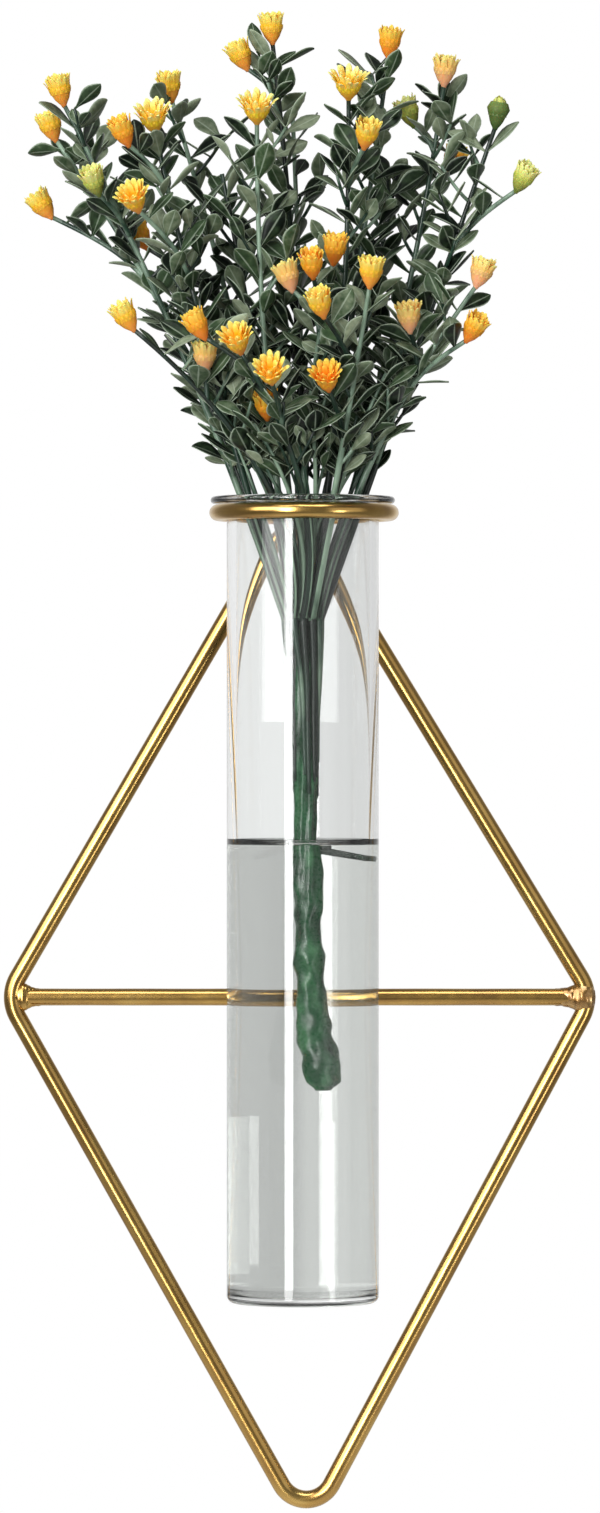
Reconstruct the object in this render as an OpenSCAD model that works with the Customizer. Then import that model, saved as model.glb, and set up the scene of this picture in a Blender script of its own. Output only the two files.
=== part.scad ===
// Wall hung rhombus of gold wire whose ring carries a clear glass tube,
// with water in the tube and a bunch of artificial yellow flowers.
// +Z is up, +X is right, the front faces -Y and the wall is the plane y = 0.
// The origin is the inside of the top corner at the wall, where a nail sits.

/* [Rhombus wire] */
// Diameter of the rhombus wire
wire_d = 3.6; // [3.2:0.1:4.2]
// Width across the side corners, between wire centres before bending
frame_w = 117; // [108:1:130]
// Height from the top corner to the cross bar
upper_h = 98.4; // [92:0.2:106]
// Height from the cross bar to the bottom corner
lower_h = 106.5; // [98:0.5:116]
// Bend radius of the top corner, at the wire's centre
top_bend_r = 5.7; // [4.5:0.1:8]
// Bend radius of the bottom corner, at the wire's centre
bottom_bend_r = 5.7; // [4.5:0.1:8]
// Bend radius of the two side corners, at the wire's centre
side_bend_r = 8; // [6:0.5:14]
// How far the middle of the rhombus stands to the right of its top corner
middle_lean = 1.3; // [-2:0.1:3]
// How far the bottom corner stands to the right of its top corner
bottom_lean = 2.8; // [-2:0.1:4]

/* [Cross bar] */
// Diameter of the cross bar
bar_d = 3.4; // [2.8:0.1:3.4]

/* [Ring] */
// Diameter of the ring's wire
ring_wire_d = 3.2; // [2.8:0.1:3.8]
// Space between the ring and the glass, all round
ring_play = 0.5; // [0.4:0.05:0.8]
// How far the ring's middle stands to the right of the top corner
ring_shift = 2.1; // [-1:0.1:3]
// Steepness of the line from the top corner's wire up to the ring's wire
ring_seat_angle = 70; // [60:1:80]

/* [Braze] */
// Thickness of the braze film between two joined wires
braze_gap = 0.02; // [0.01:0.01:0.05]
// Radius of the small bead at the left corner
left_bead_r = 2.5; // [2.3:0.05:2.7]
// Radius of the larger bead at the right corner
right_bead_r = 2.6; // [2.5:0.05:3]
// Radius of the bead between ring and top corner
ring_bead_r = 2.3; // [2:0.05:2.6]

/* [Glass tube] */
// Outer diameter of the glass tube
tube_d = 30; // [28:0.5:34]
// Length of the tube from the top of its lip to its flat bottom
tube_len = 159; // [145:1:180]
// Thickness of the glass wall
glass_wall = 1.8; // [1.4:0.1:2.2]
// Thickness of the glass floor
glass_floor = 1.5; // [1.5:0.1:3]
// Outer diameter of the flared lip
lip_d = 36.4; // [36:0.1:38]
// Thickness of the lip
lip_t = 1.4; // [1.2:0.1:1.8]
// Hair gap between the lip and the ring that it sits on
lip_seat = 0.15; // [0.1:0.05:0.3]
// Sideways offset of the tube in the ring, to the left
tube_shift = 0.25; // [0:0.05:0.3]

/* [Water] */
// Depth of the water over the glass floor
water_depth = 90; // [75:0.5:105]
// Room in the water round the plastic trunk
water_room = 0.4; // [0.3:0.1:0.8]

/* [Bunch] */
// Depth of the trunk's crown below the lip's top
crown_drop = 24; // [20:1:30]
// Length of the trunk from its crown to its rounded end
trunk_len = 93; // [80:1:100]
// Thickness of the trunk, where 1 is the photographed one
trunk_girth = 1; // [0.85:0.05:1]
// Space between the outer stems and the glass at the mouth
stem_play = 0.3; // [0.3:0.1:0.8]
// Diameter of a sprig's stem at the mouth
stem_d = 1.4; // [1.2:0.1:1.5]
// Diameter of a side twig and of a stem's tip
twig_d = 0.9; // [0.7:0.1:1]
// Length of a full leaf
leaf_len = 7.5; // [6:0.5:8]
// Width of a full leaf
leaf_w = 3; // [2.4:0.1:3.4]
// Thickness of a leaf at its midrib
leaf_t = 0.7; // [0.5:0.1:0.9]
// Height between one pair of leaves and the next
leaf_pitch = 6.5; // [6:0.5:9]
// Space kept between the leaves of neighbouring sprigs
leaf_room = 0.5; // [0.4:0.1:1]
// Height of a flower head
flower_h = 5.6; // [4.8:0.2:6]
// Diameter of a flower head's frilly rim
flower_d = 7.4; // [6:0.2:7.6]
// Gap between a twig's tip and the head pushed on it
flower_seat = 0.3; // [0.25:0.05:0.5]

/* [Hidden] */
SPRIG_NODES = [
    "sprig_01", "sprig_02", "sprig_03", "sprig_04", "sprig_05", "sprig_06",
    "sprig_07", "sprig_08", "sprig_09", "sprig_10", "sprig_11", "sprig_12",
    "sprig_13", "sprig_14", "sprig_15", "sprig_16", "sprig_17", "sprig_18"
];
FLOWER_NODES = [
    "flowers_01", "flowers_02", "", "", "flowers_05", "flowers_06",
    "flowers_07", "flowers_08", "flowers_09", "flowers_10", "flowers_11", "flowers_12",
    "flowers_13", "flowers_14", "", "flowers_16", "flowers_17", "flowers_18"
];

GOLD = "goldenrod";
PALE_GOLD = "khaki";
GLASS = [0.85, 0.92, 0.9, 0.35];
WATER = [0.75, 0.79, 0.77, 0.6];
STEM_GREEN = "darkgreen";
LEAF_GREEN = "darkslategray";
FLOWER_YELLOW = "gold";

// Small numbers of the model
ROUND = 48;
WIRE_SIDES = 24;
BEND_STEPS = 8;
END_STEPS = 6;
HAIR = 0.01;

// Corners of the rhombus in its plane, as [x, z], before the origin is set
raw_corners = [
    [0, 0],
    [middle_lean + frame_w / 2, -upper_h],
    [bottom_lean, -upper_h - lower_h],
    [middle_lean - frame_w / 2, -upper_h]
];
bend_radii = [top_bend_r, side_bend_r, bottom_bend_r, side_bend_r];

function unit(v) = v / norm(v);
function inward(d) = [d.y, -d.x];
function run_in(c, i) = unit(c[i] - c[(i + 3) % 4]);
function run_out(c, i) = unit(c[(i + 1) % 4] - c[i]);
function turn(c, i) = acos(run_in(c, i) * run_out(c, i));
function setback(c, i) = bend_radii[i] * tan(turn(c, i) / 2);
function bend_middle(c, i) =
    c[i] - run_in(c, i) * setback(c, i) + inward(run_in(c, i)) * bend_radii[i];

// The origin: the middle of the top bend is on x = 0, its inside touches z = 0
top_middle = [0, wire_d / 2 - top_bend_r];
shift = top_middle - bend_middle(raw_corners, 0);
corners = [for (c = raw_corners) c + shift];
wire_y = -wire_d / 2;
bar_z = corners[1].y;

// Where the two side bends bulge out furthest along the bar
function side_reach(i) = bend_middle(corners, i).x + (i == 1 ? side_bend_r : -side_bend_r);
right_x = side_reach(1);
left_x = side_reach(3);

// The ring lies on the upper front of the top bend
joint_reach = wire_d / 2 + ring_wire_d / 2 + braze_gap;
ring_r = tube_d / 2 + ring_play + ring_wire_d / 2;
ring_z = wire_d / 2 + joint_reach * sin(ring_seat_angle);
ring_back_y = wire_y - joint_reach * cos(ring_seat_angle);
ring_x = ring_shift;
ring_y = ring_back_y - ring_r;

// The tube hangs by its lip
tube_x = ring_x - tube_shift;
tube_y = ring_y;
bore_r = tube_d / 2 - glass_wall;
lip_under_z = ring_z + ring_wire_d / 2 + lip_seat;
lip_top_z = lip_under_z + lip_t;
tube_bottom_z = lip_top_z - tube_len;
floor_z = tube_bottom_z + glass_floor;
foot_round = 1.4;
floor_round = 2;
lip_fillet = 1.2;
mouth_round = 0.6;
water_z = floor_z + water_depth;

// Trunk: share of its length down from the crown, sideways place, radius
crown_z = lip_top_z - crown_drop;
crown_r = 4.4;
trunk_rings = [
    [0.00, 0.6, crown_r], [0.05, 0.6, 3.1], [0.12, 0.6, 2.4], [0.36, 0.6, 2.2],
    [0.49, 0.5, 2.1], [0.55, 0.7, 2.3], [0.60, 0.9, 2.2], [0.66, 0.7, 1.8],
    [0.72, 0.9, 2.3], [0.76, 1.1, 2.0], [0.81, 1.2, 2.3], [0.87, 1.7, 2.6],
    [0.94, 2.6, 3.0], [0.98, 2.9, 2.6], [1.00, 3.0, 1.2]
];
TRUNK_SIDES = 10;
bore_x = 2.1;
trunk_widest_r = 3.8;
bore_clear_r = trunk_widest_r + water_room;
stub_depth = 2.4;
twig_z = water_z - stub_depth;
stub_r = 0.4;
stub_room = 1.2;
stub_reach = bore_r - stub_room;

// Crown slots: outer ring of twelve, inner ring of six
OUTER = 12;
INNER = 6;
outer_slot_r = crown_r - 0.8;
inner_slot_r = 1.7;
mouth_r = bore_r - stem_play - stem_d / 2;
inner_mouth_r = 0.45 * mouth_r;

// Sprigs: tip of the stem right of, behind and above the tube's mouth middle,
// numbered by slot, first the outer ones anticlockwise from the right
sprig_tips = [
    [38, 1, 73], [28, 8, 82], [19, 13, 66], [-2, 15, 76], [-26, 10, 79], [-49, 7, 71],
    [-47, -5, 77], [-29, -12, 71], [-33, -18, 32], [-12, -27, 27], [13, -24, 40], [34, -9, 41],
    [17, 3, 87], [-6, 4, 90], [-16, 4, 64], [-9, -9, 73], [6, -16, 45], [9, -6, 78]
];

// Side twigs: sprig number, tip right of, behind and above the mouth middle
twig_tips = [
    [1, 42, -6, 60], [2, 29, 13, 65], [2, 22, 9, 74],
    [5, -31, 14, 50], [6, -50, 11, 56], [7, -40, -10, 59], [8, -34, -18, 68],
    [8, -32, -20, 55], [9, -19, -16, 24], [10, -19, -24, 30], [10, -6, -31, 21],
    [11, 4, -28, 34], [11, 5, -24, 20], [12, 32, -16, 30], [12, 21, -12, 32],
    [14, -11, 6, 85], [16, -7, -12, 15], [17, 2, -22, 42], [17, -2, -12, 40], [18, 12, -12, 68]
];
STEM_STEPS = 8;
STEM_SIDES = 6;
TWIG_STEPS = 2;
TWIG_RISE = 1.1;
TWIG_SPIN = 15;
TWIG_LOWEST = 4;
TWIG_LEAST = 4;
FORK_DROP = 3;
LEAF_FOOT = 0.25;
LEAF_OPPOSITE = 169;
FIRST_LEAF = 7;
LAST_LEAF = 5;
LEAF_SHARES = [1, 0.75, 0.55];
FLOWER_PETALS = 8;
TILT = 0.5;

// Angle of the slot that sprig i (counted from 0) stands in
function slot_angle(i) = i < OUTER ? i * 360 / OUTER : (i - OUTER + 0.5) * 360 / INNER;
function ring_point(r, a) = [r * cos(a), r * sin(a)];
function slot_point(i) = ring_point(i < OUTER ? outer_slot_r : inner_slot_r, slot_angle(i));
function mouth_point(i) = ring_point(i < OUTER ? mouth_r : inner_mouth_r, slot_angle(i));
function tip_height(i) = sprig_tips[i].z;

// Place of stem i at height z over the lip's top, on a curve through its slot,
// its place in the mouth and its tip
function stem_xy(i, z) =
    let (
        za = -crown_drop,
        zc = tip_height(i),
        wa = z * (z - zc) / (za * (za - zc)),
        wb = (z - za) * (z - zc) / (za * zc),
        wc = (z - za) * z / ((zc - za) * zc)
    )
    wa * slot_point(i) + wb * mouth_point(i) + wc * [sprig_tips[i].x, sprig_tips[i].y];

function stem_at(i, z) = [each stem_xy(i, z), z];
function sprig_of(t) = twig_tips[t][0] - 1;
function twig_tip(t) = [twig_tips[t][1], twig_tips[t][2], twig_tips[t][3]];

// A twig leaves its stem lower down, by how far it reaches sideways
function twig_reach(t) = norm(twig_tip(t) - stem_at(sprig_of(t), min(twig_tip(t).z, tip_height(sprig_of(t)))));
function twig_foot_z(t) = max(TWIG_LOWEST, min(twig_tip(t).z - TWIG_LEAST, twig_tip(t).z - TWIG_RISE * twig_reach(t)));
function twig_foot(t) = stem_at(sprig_of(t), min(twig_foot_z(t), tip_height(sprig_of(t)) - FORK_DROP));
function twig_at(t, z) =
    let (a = twig_foot(t), b = twig_tip(t))
    a + (b - a) * (z - a.z) / (b.z - a.z);

// Nearness of a point to a stem or twig, taken at the point's own height
function clamp(v, low, high) = max(low, min(high, v));
function off_stem(i, p) = norm(p - stem_at(i, clamp(p.z, -crown_drop, tip_height(i))));
function off_twig(t, p) = norm(p - twig_at(t, clamp(p.z, twig_foot(t).z, twig_tip(t).z)));
function off_sprig(i, p) =
    min([off_stem(i, p), each [for (t = [0:len(twig_tips) - 1]) if (sprig_of(t) == i) off_twig(t, p)]]);
function off_others(i, p) =
    min([for (j = [0:len(sprig_tips) - 1]) if (j != i) off_sprig(j, p)]);

// Tube-centred places are over the middle of the mouth
module at_mouth() {
    translate([tube_x, tube_y, lip_top_z]) children();
}

// Stands the rhombus plane upright at the depth of the wire's centre
module upright() {
    translate([0, wire_y, 0]) rotate([90, 0, 0]) children();
}

// Place in the rhombus plane on bend i, by the direction from its middle
function on_bend(i, way) = bend_middle(corners, i) + bend_radii[i] * way;

// Ring of points round the wire at place p, whose outer side faces way
function wire_ring(p, way) = [for (s = [0:WIRE_SIDES - 1])
    let (a = s * 360 / WIRE_SIDES, q = p + wire_d / 2 * cos(a) * way)
    [q.x, wire_y + wire_d / 2 * sin(a), q.y]
];

// Rings along bend i, short of its end by an angle
function bend_rings(i, short) =
    let (from = -inward(run_in(corners, i)), first = atan2(from.y, from.x), whole = turn(corners, i) - short)
    [for (k = [0:BEND_STEPS])
        let (way = ring_point(1, first - whole * k / BEND_STEPS))
        wire_ring(on_bend(i, way), way)
    ];

// The wire starts and ends at the right corner, where its ends butt together
module diamond_wire() {
    start = -inward(run_out(corners, 1));
    color(GOLD) skin([
        wire_ring(on_bend(1, start), start),
        each bend_rings(2, 0),
        each bend_rings(3, 0),
        each bend_rings(0, 0),
        each bend_rings(1, braze_gap / side_bend_r * 180 / PI)
    ]);
}

// Round wire of bend i alone, which the bar and the beads are cut by
module bend(i) {
    start = -inward(run_out(corners, i));
    upright() translate(bend_middle(corners, i)) rotate([0, 0, atan2(start.y, start.x)])
        rotate_extrude(angle = turn(corners, i), $fn = ROUND)
            translate([bend_radii[i], 0]) circle(d = wire_d);
}

// The bar runs from wire centre to wire centre, and its ends are cut to fit
module bar_rod() {
    translate([left_x, wire_y, bar_z]) rotate([0, 90, 0])
        cylinder(h = right_x - left_x, d = bar_d, $fn = ROUND);
}

module cross_bar() {
    color(GOLD) difference() {
        bar_rod();
        bend(1);
        bend(3);
    }
}

module ring_torus() {
    translate([ring_x, ring_y, ring_z])
        rotate_extrude($fn = ROUND) translate([ring_r, 0]) circle(d = ring_wire_d);
}

module tube_ring() {
    color(GOLD) ring_torus();
}

module left_weld() {
    color(PALE_GOLD) difference() {
        translate([left_x + wire_d / 2, wire_y, bar_z]) sphere(r = left_bead_r, $fn = ROUND);
        bend(3);
        bar_rod();
        behind_wall();
    }
}

module right_weld() {
    color(PALE_GOLD) difference() {
        translate([right_x - 0.6 * wire_d, wire_y, bar_z]) sphere(r = right_bead_r, $fn = ROUND);
        bend(1);
        bar_rod();
        behind_wall();
    }
}

// Everything behind the wall's face, which no bead reaches into
module behind_wall() {
    translate([-frame_w, 0, -upper_h - lower_h]) cube([2 * frame_w, wire_d, 2 * (upper_h + lower_h)]);
}

module ring_weld() {
    middle = [0, (wire_y + ring_back_y) / 2, (wire_d / 2 + ring_z) / 2];
    color(PALE_GOLD) difference() {
        translate(middle) sphere(r = ring_bead_r, $fn = ROUND);
        bend(0);
        ring_torus();
        behind_wall();
    }
}

// Points of a round corner about middle m, from angle a to angle b
function corner(m, r, a, b) =
    [for (k = [0:END_STEPS]) m + r * [cos(a + (b - a) * k / END_STEPS), sin(a + (b - a) * k / END_STEPS)]];

// Half section of the glass, as [radius, height]
function glass_section() = let (R = tube_d / 2, L = lip_d / 2) [
    [0, tube_bottom_z],
    each corner([R - foot_round, tube_bottom_z + foot_round], foot_round, -90, 0),
    each corner([R + lip_fillet, lip_under_z - lip_fillet], lip_fillet, 180, 90),
    each corner([L - lip_t / 2, lip_under_z + lip_t / 2], lip_t / 2, -90, 90),
    each corner([bore_r + mouth_round, lip_top_z - mouth_round], mouth_round, 90, 180),
    each corner([bore_r - floor_round, floor_z + floor_round], floor_round, 0, -90),
    [0, floor_z]
];

module glass_tube() {
    color(GLASS) translate([tube_x, tube_y, 0])
        rotate_extrude($fn = ROUND) polygon(glass_section());
}

// Half section of the water, which fills the tube up to its level
function water_section() = [
    [0, floor_z],
    each corner([bore_r - floor_round, floor_z + floor_round], floor_round, -90, 0),
    [bore_r, water_z],
    [0, water_z]
];

module water() {
    trunk_end_z = crown_z - trunk_len;
    color(WATER) translate([tube_x, tube_y, 0]) difference() {
        rotate_extrude($fn = ROUND) polygon(water_section());
        translate([bore_x, 0, trunk_end_z - water_room])
            cylinder(h = water_z - trunk_end_z + 2 * water_room, r = bore_clear_r, $fn = ROUND);
        translate([bore_x, -stub_r - water_room, twig_z - stub_r - water_room])
            cube([stub_reach - bore_x + water_room, 2 * (stub_r + water_room), water_z - twig_z + 2]);
    }
}

// Level ring of the trunk, counted from its crown
module trunk_ring(k) {
    ring = trunk_rings[k];
    grown = k == 0 ? 1 : trunk_girth;
    translate([ring[1], 0, -crown_drop - ring[0] * trunk_len - HAIR])
        cylinder(h = HAIR, r = ring[2] * grown, $fn = TRUNK_SIDES);
}

module trunk() {
    color(STEM_GREEN) at_mouth() {
        for (k = [0:len(trunk_rings) - 2]) hull() {
            trunk_ring(k);
            trunk_ring(k + 1);
        }
        translate([trunk_rings[4][1], 0, twig_z - lip_top_z]) rotate([0, 90, 0])
            cylinder(h = stub_reach - trunk_rings[4][1], r = stub_r, $fn = STEM_SIDES);
    }
}

// Closed skin over a row of rings, each a list of points
module skin(rings) {
    sides = len(rings[0]);
    last = len(rings) - 1;
    points = [for (ring = rings) each ring];
    walls = [for (k = [0:last - 1], s = [0:sides - 1]) each [
        [k * sides + s, (k + 1) * sides + s, k * sides + (s + 1) % sides],
        [k * sides + (s + 1) % sides, (k + 1) * sides + s, (k + 1) * sides + (s + 1) % sides]
    ]];
    bottom = [[for (s = [0:sides - 1]) s]];
    top = [[for (s = [sides - 1:-1:0]) last * sides + s]];
    polyhedron(points = points, faces = concat(walls, bottom, top));
}

function level_ring(p, d, spin) =
    [for (s = [0:STEM_SIDES - 1]) p + [each ring_point(d / 2, spin + s * 360 / STEM_SIDES), 0]];

function stem_width(i, z) =
    stem_d + (twig_d - stem_d) * clamp(z / tip_height(i), 0, 1);

module stem(i) {
    skin([for (k = [0:STEM_STEPS])
        let (z = -crown_drop + (tip_height(i) + crown_drop) * k / STEM_STEPS)
        level_ring(stem_at(i, z), stem_width(i, z), slot_angle(i))
    ]);
}

// The twig's foot is thinner than its stem, which hides it
module twig(t) {
    foot = twig_foot(t).z;
    tip = twig_tip(t).z;
    skin([for (k = [0:TWIG_STEPS])
        let (z = foot + (tip - foot) * k / TWIG_STEPS)
        level_ring(twig_at(t, z), k == 0 ? twig_d / 2 : twig_d, slot_angle(sprig_of(t)) + TWIG_SPIN)
    ]);
}

// Blunt leaf of length l along +X, its upper side up, its foot at the origin
module leaf(l) {
    w = leaf_w * l / leaf_len;
    hull() polyhedron(
        points = [
            [LEAF_FOOT, 0, leaf_t / 2], [LEAF_FOOT, 0, -leaf_t / 2],
            [0.6 * l, w / 2, 0], [0.6 * l, -w / 2, 0],
            [l, w / 6, 0], [l, -w / 6, 0],
            [0.6 * l, 0, leaf_t / 2], [0.6 * l, 0, -leaf_t / 2]
        ],
        faces = [
            [0, 2, 6], [0, 6, 3], [6, 2, 4], [6, 4, 5], [6, 5, 3],
            [1, 7, 2], [1, 3, 7], [7, 4, 2], [7, 5, 4], [7, 3, 5], [0, 1, 2], [0, 3, 1]
        ]
    );
}

// Direction of a leaf that turns by a round the stem and climbs by c degrees
function leaf_way(a, c) = [cos(c) * cos(a), cos(c) * sin(a), sin(c)];

// Middles of all flower heads, and how far a point is from the nearest head
function head_way(slope) = unit([TILT * slope.x, TILT * slope.y, 1]);
function head_middle(tip, slope) = tip + 0.6 * flower_h * head_way(slope);
head_middles = [
    for (i = [0:len(sprig_tips) - 1]) if (FLOWER_NODES[i] != "")
        head_middle(stem_at(i, tip_height(i)), stem_slope(i)),
    for (t = [0:len(twig_tips) - 1]) head_middle(twig_tip(t), twig_slope(t))
];
function off_heads(p) = min([for (m = head_middles) norm(p - m)]) - flower_d / 2;

// Whether a leaf of length l stays nearer its own sprig than any other,
// off the flower heads and in front of the wall
function leaf_fits(i, foot, way, l) =
    let (half = foot + way * l * 0.6, tip = foot + way * l, room = leaf_w + leaf_room)
    off_others(i, half) > off_sprig(i, half) + room
    && off_others(i, tip) > off_sprig(i, tip) + room
    && off_heads(half) > leaf_w / 2 + leaf_room
    && off_heads(tip) > leaf_room
    && tube_y + max(half.y, tip.y) < -leaf_w / 2;

// The longest of the leaf lengths that fits at a place, or 0
function leaf_fit(i, foot, way) =
    let (fits = [for (s = LEAF_SHARES) if (leaf_fits(i, foot, way, s * leaf_len)) s * leaf_len])
    len(fits) > 0 ? fits[0] : 0;

function leaf_turn(i, k) = slot_angle(i) + 37 * i + 90 * k + 14 * sin(73 * k + 40 * i);
function leaf_climb(i, k) = 38 + 14 * sin(101 * k + 59 * i);

module leaf_pair(i, foot, k) {
    for (side = [0, 1]) {
        turn = leaf_turn(i, k) + side * LEAF_OPPOSITE;
        climb = leaf_climb(i, k + 2 * side);
        l = leaf_fit(i, foot, leaf_way(turn, climb));
        if (l > 0) translate(foot) rotate([0, -climb, turn]) leaf(l);
    }
}

module sprig(i) {
    color(LEAF_GREEN) at_mouth() {
        stem(i);
        top = tip_height(i) - LAST_LEAF;
        pairs = floor((top - FIRST_LEAF) / leaf_pitch);
        for (k = [0:pairs]) leaf_pair(i, stem_at(i, top - k * leaf_pitch), k);
        for (t = [0:len(twig_tips) - 1]) if (sprig_of(t) == i) {
            twig(t);
            leaf_pair(i, twig_at(t, twig_tip(t).z - LAST_LEAF / 2), t);
        }
    }
}

// Head on +Z with a star-shaped frilly rim and a sunken middle
module head() {
    count = 2 * FLOWER_PETALS;
    function reach(s) = (s % 2 == 0 ? 1 : 0.72) * flower_d / 2;
    function rise(s) = (s % 2 == 0 ? 1 : 0.86) * flower_h;
    foot = [for (s = [0:count - 1]) [each ring_point(twig_d * 0.8, s * 360 / count), 0]];
    rim = [for (s = [0:count - 1]) [each ring_point(reach(s), s * 360 / count), rise(s)]];
    middle = [[0, 0, flower_h * 0.7]];
    walls = [for (s = [0:count - 1]) let (n = (s + 1) % count) each [
        [s, count + s, n], [n, count + s, count + n], [count + s, 2 * count, count + n]
    ]];
    polyhedron(
        points = concat(foot, rim, middle),
        faces = concat(walls, [[for (s = [0:count - 1]) s]])
    );
}

// Sets a head on a tip, leaning the way that its twig runs
module head_on(tip, slope) {
    lean = atan(TILT * norm(slope));
    translate(tip) rotate([0, 0, atan2(slope.y, slope.x)]) rotate([0, lean, 0])
        translate([0, 0, flower_seat]) head();
}

function stem_slope(i) = stem_xy(i, tip_height(i)) - stem_xy(i, tip_height(i) - 1);
function twig_slope(t) =
    let (v = twig_tip(t) - twig_foot(t))
    [v.x, v.y] / v.z;

module flowers(i) {
    color(FLOWER_YELLOW) at_mouth() {
        head_on(stem_at(i, tip_height(i)), stem_slope(i));
        for (t = [0:len(twig_tips) - 1]) if (sprig_of(t) == i) head_on(twig_tip(t), twig_slope(t));
    }
}

diamond_wire();
cross_bar();
tube_ring();
left_weld();
right_weld();
ring_weld();
glass_tube();
water();
trunk();
for (i = [0:len(SPRIG_NODES) - 1]) sprig(i);
for (i = [0:len(FLOWER_NODES) - 1]) if (FLOWER_NODES[i] != "") {
    flowers(i);
}
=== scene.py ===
"""Wall mounted glass flower tube: gilt wire rhombus, glass tube in its ring and plastic flowers."""

import logging
import math
import random
from dataclasses import dataclass, field
from enum import Enum
from typing import Callable, Optional, Sequence

import bpy
from mathutils import Matrix, Vector, noise


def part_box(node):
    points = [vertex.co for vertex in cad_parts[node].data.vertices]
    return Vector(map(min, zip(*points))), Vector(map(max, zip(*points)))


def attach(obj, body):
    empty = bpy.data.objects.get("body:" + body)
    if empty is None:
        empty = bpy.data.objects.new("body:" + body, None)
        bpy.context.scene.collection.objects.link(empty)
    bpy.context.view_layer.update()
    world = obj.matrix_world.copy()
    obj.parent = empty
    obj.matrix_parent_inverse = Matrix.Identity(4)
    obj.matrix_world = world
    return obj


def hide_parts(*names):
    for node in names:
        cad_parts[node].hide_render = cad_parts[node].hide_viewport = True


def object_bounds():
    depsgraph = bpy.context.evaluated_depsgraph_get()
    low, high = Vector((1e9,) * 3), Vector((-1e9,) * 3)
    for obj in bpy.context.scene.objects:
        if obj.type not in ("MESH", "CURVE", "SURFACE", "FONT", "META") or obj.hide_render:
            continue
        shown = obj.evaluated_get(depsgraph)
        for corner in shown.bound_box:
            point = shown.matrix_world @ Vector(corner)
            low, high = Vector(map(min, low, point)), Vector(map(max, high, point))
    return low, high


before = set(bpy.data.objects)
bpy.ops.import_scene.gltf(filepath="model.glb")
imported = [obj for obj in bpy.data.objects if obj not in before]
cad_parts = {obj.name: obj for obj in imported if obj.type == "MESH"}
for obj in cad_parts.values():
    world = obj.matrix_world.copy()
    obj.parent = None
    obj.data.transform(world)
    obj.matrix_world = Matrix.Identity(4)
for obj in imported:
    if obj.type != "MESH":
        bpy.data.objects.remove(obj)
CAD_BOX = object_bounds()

MM = 0.001
ARC_RUNS = 8
LOG = logging.getLogger("flower_tube")
Colour = tuple[float, float, float]
Stops = Sequence[tuple[float, Colour]]


# Shader bench


def grey(value: float) -> Colour:
    """Give a grey of a value."""
    return (value, value, value)


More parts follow.
